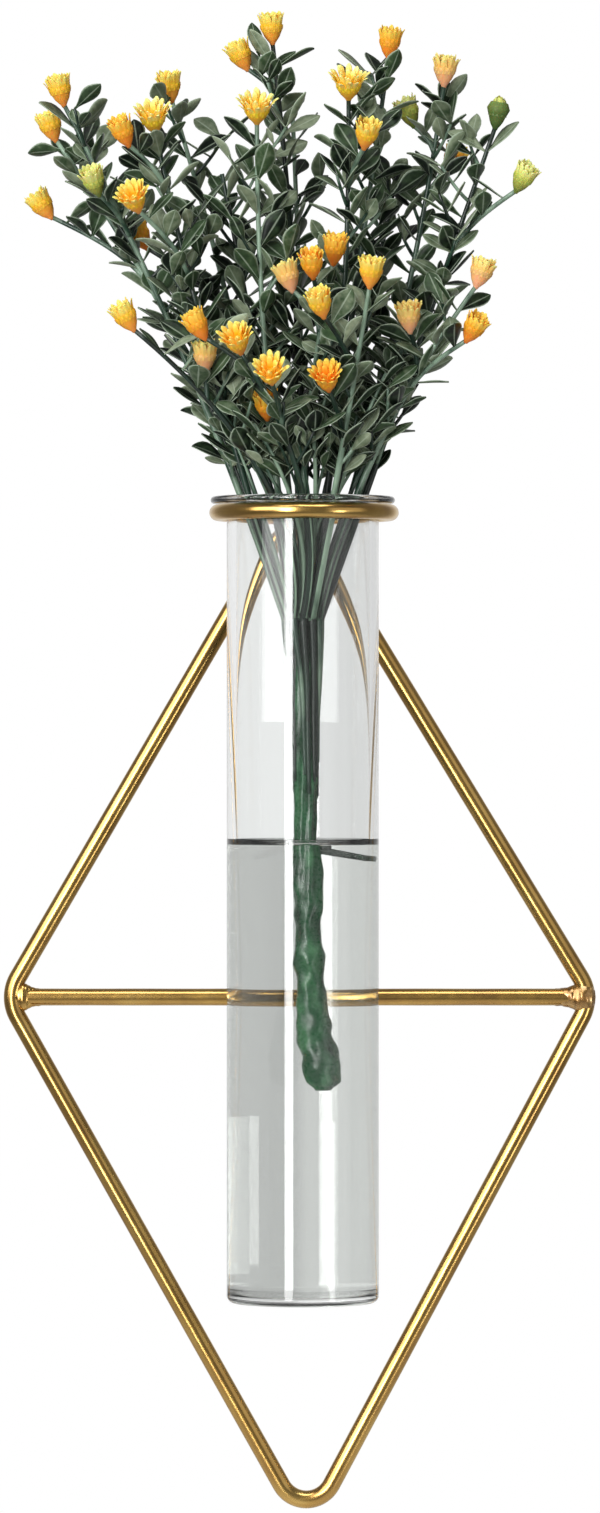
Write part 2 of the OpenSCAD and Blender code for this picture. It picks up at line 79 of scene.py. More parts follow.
class Bench:
    """Wires the shader nodes of one material, or of the world."""

    def __init__(self, name: str, world: Optional[bpy.types.World] = None) -> None:
        """Start an empty node tree.

        Args:
            name: What a new material is called.
            world: The world to wire, where it isn't a material.
        """
        self.owner = world or bpy.data.materials.new(name)
        self.owner.use_nodes = True
        self.tree = self.owner.node_tree
        self.tree.nodes.clear()
        self.out = self.tree.nodes.new("ShaderNodeOutputWorld" if world else "ShaderNodeOutputMaterial")

    def add(self, kind: str, inputs: Optional[dict] = None, **settings: object) -> bpy.types.Node:
        """Add one node.

        Args:
            kind: Blender's name of the node, without its ShaderNode prefix.
            inputs: Values or sockets by input name or number.
            settings: Settings of the node itself.

        Returns:
            The node.
        """
        node = self.tree.nodes.new("ShaderNode" + kind)
        for key, value in settings.items():
            setattr(node, key, value)
        for key, value in (inputs or {}).items():
            if isinstance(value, bpy.types.NodeSocket):
                self.tree.links.new(value, node.inputs[key])
            else:
                node.inputs[key].default_value = value
        return node

    def place(self, space: str = "Object", stretch: Colour = (1, 1, 1)) -> bpy.types.NodeSocket:
        """Give texture coordinates.

        Args:
            space: Which coordinates: Object or UV.
            stretch: How much each axis is scaled.

        Returns:
            The socket with the scaled coordinates.
        """
        coords = self.add("TexCoord").outputs[space]
        return self.add("Mapping", {"Vector": coords, "Scale": stretch}).outputs[0]

    def noise(self, where: bpy.types.NodeSocket, scale: float, detail: float = 3) -> bpy.types.NodeSocket:
        """Give a noise value between 0 and 1.

        Args:
            where: Texture coordinates.
            scale: Waves per unit of them.
            detail: How many finer layers it has.

        Returns:
            The socket with the value.
        """
        return self.add("TexNoise", {"Vector": where, "Scale": scale, "Detail": detail}).outputs[0]

    def ramp(self, factor: bpy.types.NodeSocket, stops: Stops) -> bpy.types.NodeSocket:
        """Turn a value into a colour.

        Args:
            factor: The value, from 0 to 1.
            stops: Places and colours, in rising order.

        Returns:
            The socket with the colour.
        """
        node = self.add("ValToRGB", {"Fac": factor})
        band = node.color_ramp
        while len(band.elements) < len(stops):
            band.elements.new(0.5)
        for element, (place, colour) in zip(band.elements, stops):
            element.position = place
            element.color = (*colour, 1)
        return node.outputs[0]

    def span(self, value: bpy.types.NodeSocket, low: float, high: float) -> bpy.types.NodeSocket:
        """Map 0.3 to 0.7, where noise lives, onto a span of values.

        Args:
            value: The value to map.
            low: What 0.3 becomes.
            high: What 0.7 becomes.

        Returns:
            The socket with the mapped value.
        """
        node = self.add("MapRange", {0: value, 1: 0.3, 2: 0.7, 3: low, 4: high})
        return node.outputs[0]

    def mix(self, factor: object, a: object, b: object, blend: str = "MIX") -> bpy.types.NodeSocket:
        """Mix two colours.

        Args:
            factor: Share of the second, a value or a socket.
            a: First colour, a value or a socket.
            b: Second colour, a value or a socket.
            blend: How they mix.

        Returns:
            The socket with the mixed colour.
        """
        node = self.add("Mix", data_type="RGBA", blend_type=blend)
        for slot, value in ((0, factor), (6, a), (7, b)):
            if isinstance(value, bpy.types.NodeSocket):
                self.tree.links.new(value, node.inputs[slot])
            else:
                node.inputs[slot].default_value = value
        return node.outputs[2]

    def bump(self, height: bpy.types.NodeSocket, strength: float, depth: float) -> bpy.types.NodeSocket:
        """Raise small relief.

        Args:
            height: Height value.
            strength: How much of the relief shows.
            depth: Its depth in metres.

        Returns:
            The socket with the bent normal.
        """
        return self.add("Bump", {"Height": height, "Strength": strength, "Distance": depth}).outputs[0]

    def surface(self, shader: bpy.types.NodeSocket) -> bpy.types.ID:
        """Make a shader the surface.

        Args:
            shader: The shader's socket.

        Returns:
            The finished material or world.
        """
        self.tree.links.new(shader, self.out.inputs["Surface"])
        return self.owner


# Finishes


@dataclass(frozen=True)
class GoldPlate:
    """Thin gold plating on drawn steel wire, a little mottled, with draw lines along it."""

    name: str = "gold_plate"
    deep: Colour = (0.44, 0.225, 0.030)
    warm: Colour = (0.62, 0.360, 0.060)
    light: Colour = (0.78, 0.510, 0.130)
    sheen: Colour = (1.0, 0.97, 0.86)
    rough_low: float = 0.22
    rough_high: float = 0.26
    relief: float = 0.01 * MM
    relief_share: float = 0.12
    speck_scale: float = 500
    blotch_scale: float = 130
    line_count: float = 9
    line_share: float = 0.5
    places: tuple[float, float, float] = (0.33, 0.50, 0.69)
    coat: float = 0.6
    coat_rough: float = 0.22
    coat_index: float = 2.0

    def make(self) -> bpy.types.Material:
        """Wire up the plating's material.

        Returns:
            The material.
        """
        bench = Bench(self.name)
        where = bench.place()
        blotch = bench.noise(where, self.blotch_scale)
        lines = bench.noise(bench.place("UV", (self.line_count, 0.5, 1)), 1, 2)
        speck = bench.noise(where, self.speck_scale, 2)
        tone = bench.mix(self.line_share, blotch, lines)
        colour = bench.ramp(tone, list(zip(self.places, (self.deep, self.warm, self.light))))
        gloss = bench.span(speck, self.rough_low, self.rough_high)
        shader = bench.add("BsdfPrincipled", {
            "Base Color": colour, "Metallic": 1.0, "Roughness": gloss,
            "Coat Weight": self.coat, "Coat Roughness": self.coat_rough, "Coat IOR": self.coat_index,
            "Coat Tint": (*self.sheen, 1), "Normal": bench.bump(speck, self.relief_share, self.relief),
        })
        return bench.surface(shader.outputs[0])


@dataclass(frozen=True)
class ClearGlass:
    """Blown clear glass, faintly wavy, that shadow rays and rough reflections pass straight through."""

    name: str = "clear_glass"
    tint: Colour = (0.92, 0.93, 0.925)
    passing: Colour = (0.96, 0.965, 0.96)
    index: float = 1.47
    roughness: float = 0.0
    wave: float = 0.04 * MM
    wave_share: float = 0.3
    wave_scale: float = 160
    wave_stretch: Colour = (1, 1, 0.15)

    def make(self) -> bpy.types.Material:
        """Wire up the glass's material.

        Returns:
            The material.
        """
        bench = Bench(self.name)
        wave = bench.noise(bench.place(stretch=self.wave_stretch), self.wave_scale, 2)
        body = bench.add("BsdfPrincipled", {
            "Base Color": (*self.tint, 1), "Roughness": self.roughness, "IOR": self.index,
            "Transmission Weight": 1.0, "Normal": bench.bump(wave, self.wave_share, self.wave),
        })
        clear = bench.add("BsdfTransparent", {"Color": (*self.passing, 1)})
        paths = bench.add("LightPath")
        reflected, singular = paths.outputs["Is Reflection Ray"], paths.outputs["Is Singular Ray"]
        spread = bench.add("Math", {0: reflected, 1: singular}, operation="SUBTRACT").outputs[0]
        passed = bench.add("Math", {0: paths.outputs["Is Shadow Ray"], 1: spread},
                           operation="MAXIMUM").outputs[0]
        both = bench.add("MixShader", {0: passed, 1: body.outputs[0], 2: clear.outputs[0]})
        return bench.surface(both.outputs[0])


@dataclass(frozen=True)
class MouldedGreen:
    """Moulded green plastic of stems and trunk, with darker streaks, and paler streaks whose pale colour is a
    painted highlight.
    """

    name: str
    dark: Colour
    middle: Colour
    # pale: colour of the paler streaks, a painted highlight
    pale: Colour
    streak_and_highlight_stretch: Colour
    roughness: float = 0.38
    relief: float = 0.12 * MM
    relief_share: float = 0.6
    rough_spread: float = 0.1
    specular: float = 0.6
    streak_and_highlight_scale: float = 300
    grain_scale: float = 1500
    tone_share: float = 0.4
    places: tuple[float, float, float] = (0.34, 0.52, 0.70)

    def make(self) -> bpy.types.Material:
        """Wire up the plastic's material.

        Returns:
            The material.
        """
        bench = Bench(self.name)
        streak_and_painted_highlight = bench.noise(bench.place(stretch=self.streak_and_highlight_stretch), self.streak_and_highlight_scale)
        grain = bench.noise(bench.place(), self.grain_scale, 2)
        rough = bench.span(grain, self.roughness - self.rough_spread, self.roughness + self.rough_spread)
        tone = bench.add("Attribute", attribute_name="tone").outputs["Fac"]
        both = bench.mix(self.tone_share, streak_and_painted_highlight, tone)
        # the ramp's pale end paints highlights along the paler streaks
        colour = bench.ramp(both, list(zip(self.places, (self.dark, self.middle, self.pale))))
        shader = bench.add("BsdfPrincipled", {
            "Base Color": colour, "Roughness": rough, "Specular IOR Level": self.specular,
            "Normal": bench.bump(streak_and_painted_highlight, self.relief_share, self.relief),
        })
        return bench.surface(shader.outputs[0])


@dataclass(frozen=True)
class LeafPlastic:
    """Moulded leaf: grey green, with a pale vein along its midrib and a painted highlight along its edge,
    each leaf with its own tone.
    """

    name: str = "leaf_green"
    shade: Colour = (0.004, 0.008, 0.005)
    middle: Colour = (0.045, 0.082, 0.036)
    bloom: Colour = (0.28, 0.33, 0.22)
    pale_vein_and_rim_highlight: Colour = (0.38, 0.46, 0.35)
    relief: float = 0.10 * MM
    relief_share: float = 0.5
    rough_low: float = 0.36
    rough_high: float = 0.54
    specular: float = 0.22
    patch_scale: float = 520
    tone_share: float = 0.5
    places: tuple[float, float, float] = (0.27, 0.50, 0.78)
    rib_and_rim_highlight: tuple[tuple[float, float], ...] = ((0.0, 0.7), (0.06, 0.0), (0.40, 0.0), (0.5, 0.8))

    def make(self) -> bpy.types.Material:
        """Wire up the leaf's material.

        Returns:
            The material.
        """
        bench = Bench(self.name)
        tone = bench.add("Attribute", attribute_name="tone").outputs["Fac"]
        patch = bench.noise(bench.place(), self.patch_scale, 4)
        both = bench.mix(self.tone_share, patch, tone)
        colour = bench.ramp(both, list(zip(self.places, (self.shade, self.middle, self.bloom))))
        across = bench.add("SeparateXYZ", {0: bench.place("UV")}).outputs[0]
        off_rib = bench.add("Math", {0: across, 1: 0.5}, operation="SUBTRACT").outputs[0]
        off_rib = bench.add("Math", {0: off_rib}, operation="ABSOLUTE").outputs[0]
        # the pale band at the midrib is vein colour; the pale rim at the edge is a painted highlight
        lines = bench.ramp(off_rib, [(away, grey(share)) for away, share in self.rib_and_rim_highlight])
        colour = bench.mix(lines, colour, (*self.pale_vein_and_rim_highlight, 1))
        shader = bench.add("BsdfPrincipled", {
            "Base Color": colour, "Roughness": bench.span(patch, self.rough_low, self.rough_high),
            "Specular IOR Level": self.specular,
            "Normal": bench.bump(patch, self.relief_share, self.relief),
        })
        return bench.surface(shader.outputs[0])


@dataclass(frozen=True)
class PetalPlastic:
    """Soft plastic petals that turn from a deep foot to a pale fringe."""

    name: str
    foot: Colour
    middle: Colour
    fringe: Colour
    places: tuple[float, float, float] = (0.08, 0.52, 0.95)
    patch_scale: float = 700
    wander: float = 0.36
    rough_low: float = 0.45
    rough_high: float = 0.65
    specular: float = 0.3
    glow: float = 0.3
    glow_depth: float = 1.2 * MM
    relief: float = 0.10 * MM
    relief_share: float = 0.4

    def make(self) -> bpy.types.Material:
        """Wire up the petals' material.

        Returns:
            The material.
        """
        bench = Bench(self.name)
        along = bench.add("SeparateXYZ", {0: bench.place("UV")}).outputs[1]
        patch = bench.noise(bench.place(), self.patch_scale)
        wander = bench.add("Math", {0: patch, 1: self.wander, 2: -self.wander / 2},
                           operation="MULTIPLY_ADD")
        height = bench.add("Math", {0: along, 1: wander.outputs[0]}, operation="ADD").outputs[0]
        colour = bench.ramp(height, list(zip(self.places, (self.foot, self.middle, self.fringe))))
        shader = bench.add("BsdfPrincipled", {
            "Base Color": colour, "Roughness": bench.span(patch, self.rough_low, self.rough_high),
            "Subsurface Weight": self.glow, "Subsurface Scale": self.glow_depth,
            "Specular IOR Level": self.specular,
            "Normal": bench.bump(patch, self.relief_share, self.relief),
        })
        return bench.surface(shader.outputs[0])


class HeadKind(Enum):
    """What a flower head looks like: its finish and its size beside a common head."""

    GOLDEN = (PetalPlastic("petal_golden", (0.88, 0.30, 0.06), (1.0, 0.50, 0.015), (1.0, 0.82, 0.20)), 1.0)
    DEEP = (PetalPlastic("petal_deep", (0.80, 0.22, 0.03), (1.0, 0.37, 0.012), (1.0, 0.66, 0.10)), 0.95)
    LARGE = (PetalPlastic("petal_large", (0.90, 0.38, 0.05), (1.0, 0.60, 0.02), (1.0, 0.88, 0.32)), 1.12)
    PEACH = (PetalPlastic("petal_peach", (0.88, 0.42, 0.24), (1.0, 0.50, 0.12), (1.0, 0.80, 0.26)), 1.0)
    LIME = (PetalPlastic("petal_lime", (0.16, 0.21, 0.04), (0.60, 0.58, 0.10), (0.92, 0.88, 0.34)), 0.95)
    BUD = (PetalPlastic("petal_bud", (0.05, 0.09, 0.02), (0.13, 0.19, 0.04), (0.62, 0.60, 0.15)), 0.9)

    def __init__(self, finish: PetalPlastic, share: float) -> None:
        """Keep what tells the kind from the others.

        Args:
            finish: Finish of its petals.
            share: Size beside a common head.
        """
        self.finish = finish
        self.share = share


# Mesh bench


@dataclass
class Skin:
    """Mesh under way: rows of points joined into closed skins, with UVs, tones and material slots."""

    points: list[Vector] = field(default_factory=list)
    faces: list[tuple[int, ...]] = field(default_factory=list)
    uvs: list[tuple[float, float]] = field(default_factory=list)
    slots: list[int] = field(default_factory=list)
    tones: list[float] = field(default_factory=list)
    round_shaded: list[bool] = field(default_factory=list)

    def rings(
        self,
        rings: Sequence[Sequence[Vector]],
        slot: int = 0,
        tone: float = 0.5,
        across: Optional[Sequence[float]] = None,
        along: tuple[float, float] = (0.0, 1.0),
        endless: bool = False,
        smooth: bool = True,
    ) -> None:
        """Join rings of points into a closed skin.

        Args:
            rings: Rings with the same number of points.
            slot: Material slot of the skin.
            tone: Tone of the skin, from 0 to 1.
            across: U at each point of a ring and once more at its start.
            along: V at the first and the last ring.
            endless: Whether the last ring joins the first, without caps.
            smooth: Whether it shades as a round form rather than facet by facet.
        """
        first, count, rows = len(self.points), len(rings[0]), len(rings)
        across = across or [k / count for k in range(count + 1)]
        for ring in rings:
            self.points.extend(ring)
            self.tones.extend([tone] * count)
        for row in range(rows if endless else rows - 1):
            low, high = first + row * count, first + (row + 1) % rows * count
            span = rows if endless else rows - 1
            v0 = along[0] + (along[1] - along[0]) * row / span
            v1 = along[0] + (along[1] - along[0]) * (row + 1) / span
            for k in range(count):
                n = (k + 1) % count
                self.faces.append((low + k, low + n, high + n, high + k))
                self.uvs += [(across[k], v0), (across[k + 1], v0), (across[k + 1], v1), (across[k], v1)]
                self.slots.append(slot)
        if not endless:
            for ids, v in ((range(first + count - 1, first - 1, -1), along[0]),
                           (range(first + (rows - 1) * count, first + rows * count), along[1])):
                self.faces.append(tuple(ids))
                self.uvs += [(across[i - ids[0] if ids[-1] > ids[0] else ids[0] - i], v) for i in ids]
                self.slots.append(slot)
        self.round_shaded += [smooth] * (len(self.faces) - len(self.round_shaded))

    def piece(self, name: str, body: str, finishes: Sequence[bpy.types.Material], slot: str,
              nodes: Sequence[str]) -> None:
        """Make the piece, hang it on its body and hide the CAD nodes that it stands for.

        Args:
            name: Name of the piece.
            body: Body that it rides on.
            finishes: Materials by slot.
            slot: Not used.
            nodes: CAD nodes that it stands for.
        """
        mesh = bpy.data.meshes.new(name)
        mesh.from_pydata([tuple(p) for p in self.points], [], self.faces)
        layer = mesh.uv_layers.new(name="UVMap")
        for loop, uv in zip(layer.data, self.uvs):
            loop.uv = uv
        tone = mesh.attributes.new("tone", "FLOAT", "POINT")
        tone.data.foreach_set("value", self.tones)
        mesh.polygons.foreach_set("material_index", self.slots)
        mesh.polygons.foreach_set("use_smooth", self.round_shaded)
        mesh.update()
        for finish in finishes:
            mesh.materials.append(finish)
        made = bpy.data.objects.new(name, mesh)
        bpy.context.scene.collection.objects.link(made)
        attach(made, body)
        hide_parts(*nodes)
        LOG.info("%s: %d faces, rides on %s", name, len(self.faces), body)


def ring_about(middle: Vector, a: Vector, b: Vector, radius: float, sides: int) -> list[Vector]:
    """Give a circle of points.

    Args:
        middle: Its middle.
        a: First direction in its plane.
        b: Second direction in its plane.
        radius: Its radius.
        sides: How many points it has.

    Returns:
        The points.
    """
    return [middle + radius * (math.cos(t) * a + math.sin(t) * b) for t in turns(sides)]


def turns(count: int) -> list[float]:
    """Give the angles of evenly spaced directions round a circle.

    Args:
        count: How many there are.

    Returns:
        The angles in radians.
    """
    return [2 * math.pi * k / count for k in range(count)]


def tube_rings(path: Sequence[Vector], radius: Callable[[float], float], sides: int) -> list[list[Vector]]:
    """Give rings square to a path, without twist between them.

    Args:
        path: Points along the middle of the tube.
        radius: Radius by share of the path's points.
        sides: Points of each ring.

    Returns:
        The rings.
    """
    rings, last = [], len(path) - 1
    way = (path[1] - path[0]).normalized()
    a = way.orthogonal().normalized()
    for k, point in enumerate(path):
        way = (path[min(k + 1, last)] - path[max(k - 1, 0)]).normalized()
        a = (a - way * a.dot(way)).normalized()
        rings.append(ring_about(point, a, way.cross(a), radius(k / last), sides))
    return rings


def lathe_rings(section: Sequence[tuple[float, float]], middle: Vector, sides: int) -> list[list[Vector]]:
    """Give the rings of a turned shape about an upright axis.

    Args:
        section: Radius and height of each ring.
        middle: A point on the axis at height 0.
        sides: Points of each ring.

    Returns:
        The rings.
    """
    x, y = Vector((1, 0, 0)), Vector((0, 1, 0))
    return [ring_about(middle + Vector((0, 0, z)), x, y, max(r, 0.01 * MM), sides) for r, z in section]


def arc(middle: tuple[float, float], radius: float, start: float, end: float) -> list[tuple[float, float]]:
    """Give points of an arc in a section.

    Args:
        middle: Its middle.
        radius: Its radius.
        start: Angle of its first point in degrees.
        end: Angle of its last point in degrees.

    Returns:
        The points.
    """
    angles = [math.radians(start + (end - start) * k / ARC_RUNS) for k in range(ARC_RUNS + 1)]
    return [(middle[0] + radius * math.cos(a), middle[1] + radius * math.sin(a)) for a in angles]


def blend(low: float, high: float, share: float) -> float:
    """Give the value at a share of the way from low to high."""
    return low + (high - low) * share


def rise(share: float) -> float:
    """Give a smooth step from 0 to 1 over a share from 0 to 1."""
    share = min(max(share, 0.0), 1.0)
    return share * share * (3 - 2 * share)


def heading(turn: float, climb: float) -> Vector:
    """Give the direction at a turn about the upright axis and a climb, both in radians."""
    return Vector((math.cos(climb) * math.cos(turn), math.cos(climb) * math.sin(turn), math.sin(climb)))


def bowed(z: float, low: float, high: float, foot: Vector, mouth: Vector, tip: Vector) -> Vector:
    """Give a place on the curve through three places, of which the middle one is at height 0.

    Args:
        z: Height of the place.
        low: Height of the foot, below 0.
        high: Height of the tip, above 0.
        foot: X and Y of the foot.
        mouth: X and Y at height 0.
        tip: X and Y of the tip.

    Returns:
        The place.
    """
    at_foot = z * (z - high) / (low * (low - high))
    at_mouth = (z - low) * (z - high) / (low * high)
    at_tip = (z - low) * z / ((high - low) * high)
    flat = foot * at_foot + mouth * at_mouth + tip * at_tip
    return Vector((flat.x, flat.y, z))


# Wire frame


@dataclass
class WireFrame:
    """Bent wire rhombus with its cross bar, tube ring and brazed beads."""

    wire_d: float = 3.6 * MM
    bar_d: float = 3.4 * MM
    ring_wire_d: float = 3.2 * MM
    width: float = 117 * MM
    upper_h: float = 98.4 * MM
    lower_h: float = 106.5 * MM
    middle_lean: float = 1.3 * MM
    bottom_lean: float = 2.8 * MM
    end_bend_r: float = 5.7 * MM
    side_bend_r: float = 8.0 * MM
    wire_wave: float = 0.008
    wire_wave_scale: float = 90
    bar_wave: float = 0.006
    bar_waves: float = 37
    left_section: tuple[tuple[float, float], ...] = (
        (-1.6, 0.4), (-1.4, 1.6), (-0.8, 2.5), (0.2, 2.85), (0.8, 2.65), (1.4, 2.3), (2.1, 2.0), (3.0, 1.82),
        (4.2, 1.68),
    )
    right_section: tuple[tuple[float, float], ...] = (
        (-4.6, 1.68), (-3.2, 1.78), (-1.8, 1.95), (-0.6, 2.3), (0.4, 2.8), (1.2, 3.1), (2.2, 3.1), (3.2, 2.6),
        (3.9, 1.5), (4.1, 0.3),
    )
    ring_section: tuple[tuple[float, float], ...] = (
        (-2.6, 0.3), (-2.0, 1.3), (0.0, 2.0), (2.0, 1.3), (2.6, 0.3),
    )
    flat_bead: float = 0.68
    full_bead: float = 0.84
    smooth_lumps: float = 0.04
    rough_lumps: float = 0.10
    wall_gap: float = 0.02 * MM
    sides: int = 36
    bead_sides: int = 32
    bead_rows: int = 5
    ring_steps: int = 144
    bar_steps: int = 48
    step: float = 2.5 * MM
    bend_step: float = 0.5 * MM
    body: str = "frame"

    def corners(self) -> list[Vector]:
        """Give the rhombus corners as x and z, clockwise, so that the top bend hangs on the origin.

        Returns:
            The four corners.
        """
        raw = [
            Vector((0, 0)),
            Vector((self.middle_lean + self.width / 2, -self.upper_h)),
            Vector((self.bottom_lean, -self.upper_h - self.lower_h)),
            Vector((self.middle_lean - self.width / 2, -self.upper_h)),
        ]
        top = Vector((0, self.wire_d / 2 - self.end_bend_r))
        shift = top - self.bend(raw, 0)[0]
        return [corner + shift for corner in raw]

    def bend(self, corners: Sequence[Vector], i: int) -> tuple[Vector, float, float, float]:
        """Give one bend of the wire.

        Args:
            corners: The rhombus corners.
            i: Which corner.

        Returns:
            Its middle, radius, first angle and turn.
        """
        radius = self.side_bend_r if i % 2 else self.end_bend_r
        into = (corners[i] - corners[i - 1]).normalized()
        away = (corners[(i + 1) % 4] - corners[i]).normalized()
        turn = math.acos(into.dot(away))
        inward = Vector((into.y, -into.x))
        middle = corners[i] - into * radius * math.tan(turn / 2) + inward * radius
        return middle, radius, math.atan2(-inward.y, -inward.x), turn

    def loop(self) -> list[tuple[Vector, Vector]]:
        """Give the wire's middle line as places and outward directions in the rhombus plane.

        Returns:
            Pairs of a place and the outward direction there, from the right corner on.
        """
        corners, places = self.corners(), []
        for i in (1, 2, 3, 0):
            middle, radius, first, turn = self.bend(corners, i)
            count = max(6, round(radius * turn / self.bend_step))
            for k in range(count + 1):
                way = Vector((math.cos(first - turn * k / count), math.sin(first - turn * k / count)))
                places.append((middle + way * radius, way))
            onward, next_radius, next_first, _ = self.bend(corners, (i + 1) % 4)
            way = Vector((math.cos(next_first), math.sin(next_first)))
            start, end = places[-1][0], onward + way * next_radius
            runs = round((end - start).length / self.step)
            places += [(start.lerp(end, k / runs), way) for k in range(1, runs)]
        return places

    def upright(self, place: Vector) -> Vector:
        """Stand a place of the rhombus plane at the depth of the wire's middle."""
        return Vector((place.x, -self.wire_d / 2, place.y))

    def build_rhombus(self, gold: bpy.types.Material) -> None:
        """Build the bent wire.

        Args:
            gold: Its finish.
        """
        rings = []
        for place, way in self.loop():
            middle = self.upright(place)
            radius = self.wire_d / 2 * (1 + self.wire_wave * noise.noise(middle * self.wire_wave_scale))
            across, depth = Vector((way.x, 0, way.y)), Vector((0, 1, 0))
            rings.append(ring_about(middle, across, depth, radius, self.sides))
        skin = Skin()
        skin.rings(rings, along=(0, 30), endless=True)
        skin.piece("bent_rhombus_wire", self.body, [gold], "gold_wire", ["diamond_wire"])

    def bar_radius(self, share: float) -> float:
        """Give the bar's radius, which wavers a little, at a share of its length."""
        return self.bar_d / 2 * (1 + self.bar_wave * math.sin(self.bar_waves * share))

    def build_bar(self, gold: bpy.types.Material) -> None:
        """Build the cross bar from corner to corner.

        Args:
            gold: Its finish.
        """
        low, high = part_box("cross_bar")
        middle = self.upright(Vector((0, (low[2] + high[2]) / 2)))
        shares = [k / self.bar_steps for k in range(self.bar_steps + 1)]
        path = [Vector((blend(low[0], high[0], share), middle.y, middle.z)) for share in shares]
        skin = Skin()
        skin.rings(tube_rings(path, self.bar_radius, self.sides), along=(0, 8))
        skin.piece("straight_cross_bar", self.body, [gold], "gold_wire", ["cross_bar"])

    def build_ring(self, gold: bpy.types.Material) -> None:
        """Build the ring that the tube hangs in.

        Args:
            gold: Its finish.
        """
        low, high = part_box("tube_ring")
        middle = Vector([(a + b) / 2 for a, b in zip(low, high)])
        radius = (high[0] - low[0] - self.ring_wire_d) / 2
        rings = []
        for t in turns(self.ring_steps):
            way = Vector((math.cos(t), math.sin(t), 0))
            rings.append(ring_about(middle + way * radius, way, Vector((0, 0, 1)), self.ring_wire_d / 2,
                                    self.sides))
        skin = Skin()
        skin.rings(rings, along=(0, 8), endless=True)
        skin.piece("round_tube_ring", self.body, [gold], "gold_wire", ["tube_ring"])

    def build_bead(self, name: str, node: str, section: Sequence[tuple[float, float]], depth: float,
                   lumps: float, finish: bpy.types.Material) -> None:
        """Build one brazed bead that is turned about the bar's line and lumpy.

        Args:
            name: Name of the piece.
            node: The CAD node that marks its place.
            section: Places along X from the node's middle and radii there, in millimetres.
            depth: Its depth beside its height.
            lumps: How lumpy it is, as a share of its radius.
            finish: Its finish.
        """
        low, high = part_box(node)
        middle = Vector([(a + b) / 2 for a, b in zip(low, high)])
        middle.y = -self.wire_d / 2 if node != "ring_weld" else middle.y
        rings, steps = [], self.bead_rows
        for (x0, r0), (x1, r1) in zip(section, section[1:]):
            for k in range(steps if (x1, r1) != section[-1] else steps + 1):
                x, radius = blend(x0, x1, k / steps), blend(r0, r1, rise(k / steps))
                ring = []
                for t in turns(self.bead_sides):
                    way = Vector((0, math.cos(t), math.sin(t)))
                    swell = 1 + lumps * noise.noise(Vector((x * 0.7, way.y * 1.4, way.z * 1.4)))
                    swell += 0.4 * lumps * noise.noise(Vector((x * 2, way.y * 4, way.z * 4)))
                    way.y *= depth
                    place = middle + Vector((x, 0, 0)) * MM + way * radius * swell * MM
                    place.y = min(place.y, -self.wall_gap)
                    ring.append(place)
                rings.append(ring)
        skin = Skin()
        skin.rings(rings)
        skin.piece(name, self.body, [finish], "braze", [node])

    def build(self) -> None:
        """Build and dress the whole frame."""
        gold = GoldPlate().make()
        braze = GoldPlate("braze_gold", deep=(0.26, 0.11, 0.020), warm=(0.44, 0.23, 0.050),
                          light=(0.74, 0.50, 0.20), rough_low=0.24, rough_high=0.46, relief=0.10 * MM,
                          speck_scale=1100, blotch_scale=420).make()
        self.build_rhombus(gold)
        self.build_bar(gold)
        self.build_ring(gold)
        self.build_bead("left_corner_bead", "left_weld", self.left_section, self.flat_bead,
                        self.smooth_lumps, gold)
        self.build_bead("right_corner_bead", "right_weld", self.right_section, self.full_bead,
                        self.rough_lumps, braze)
        self.build_bead("ring_bead", "ring_weld", self.ring_section, self.full_bead, self.rough_lumps, braze)


# Glass and water


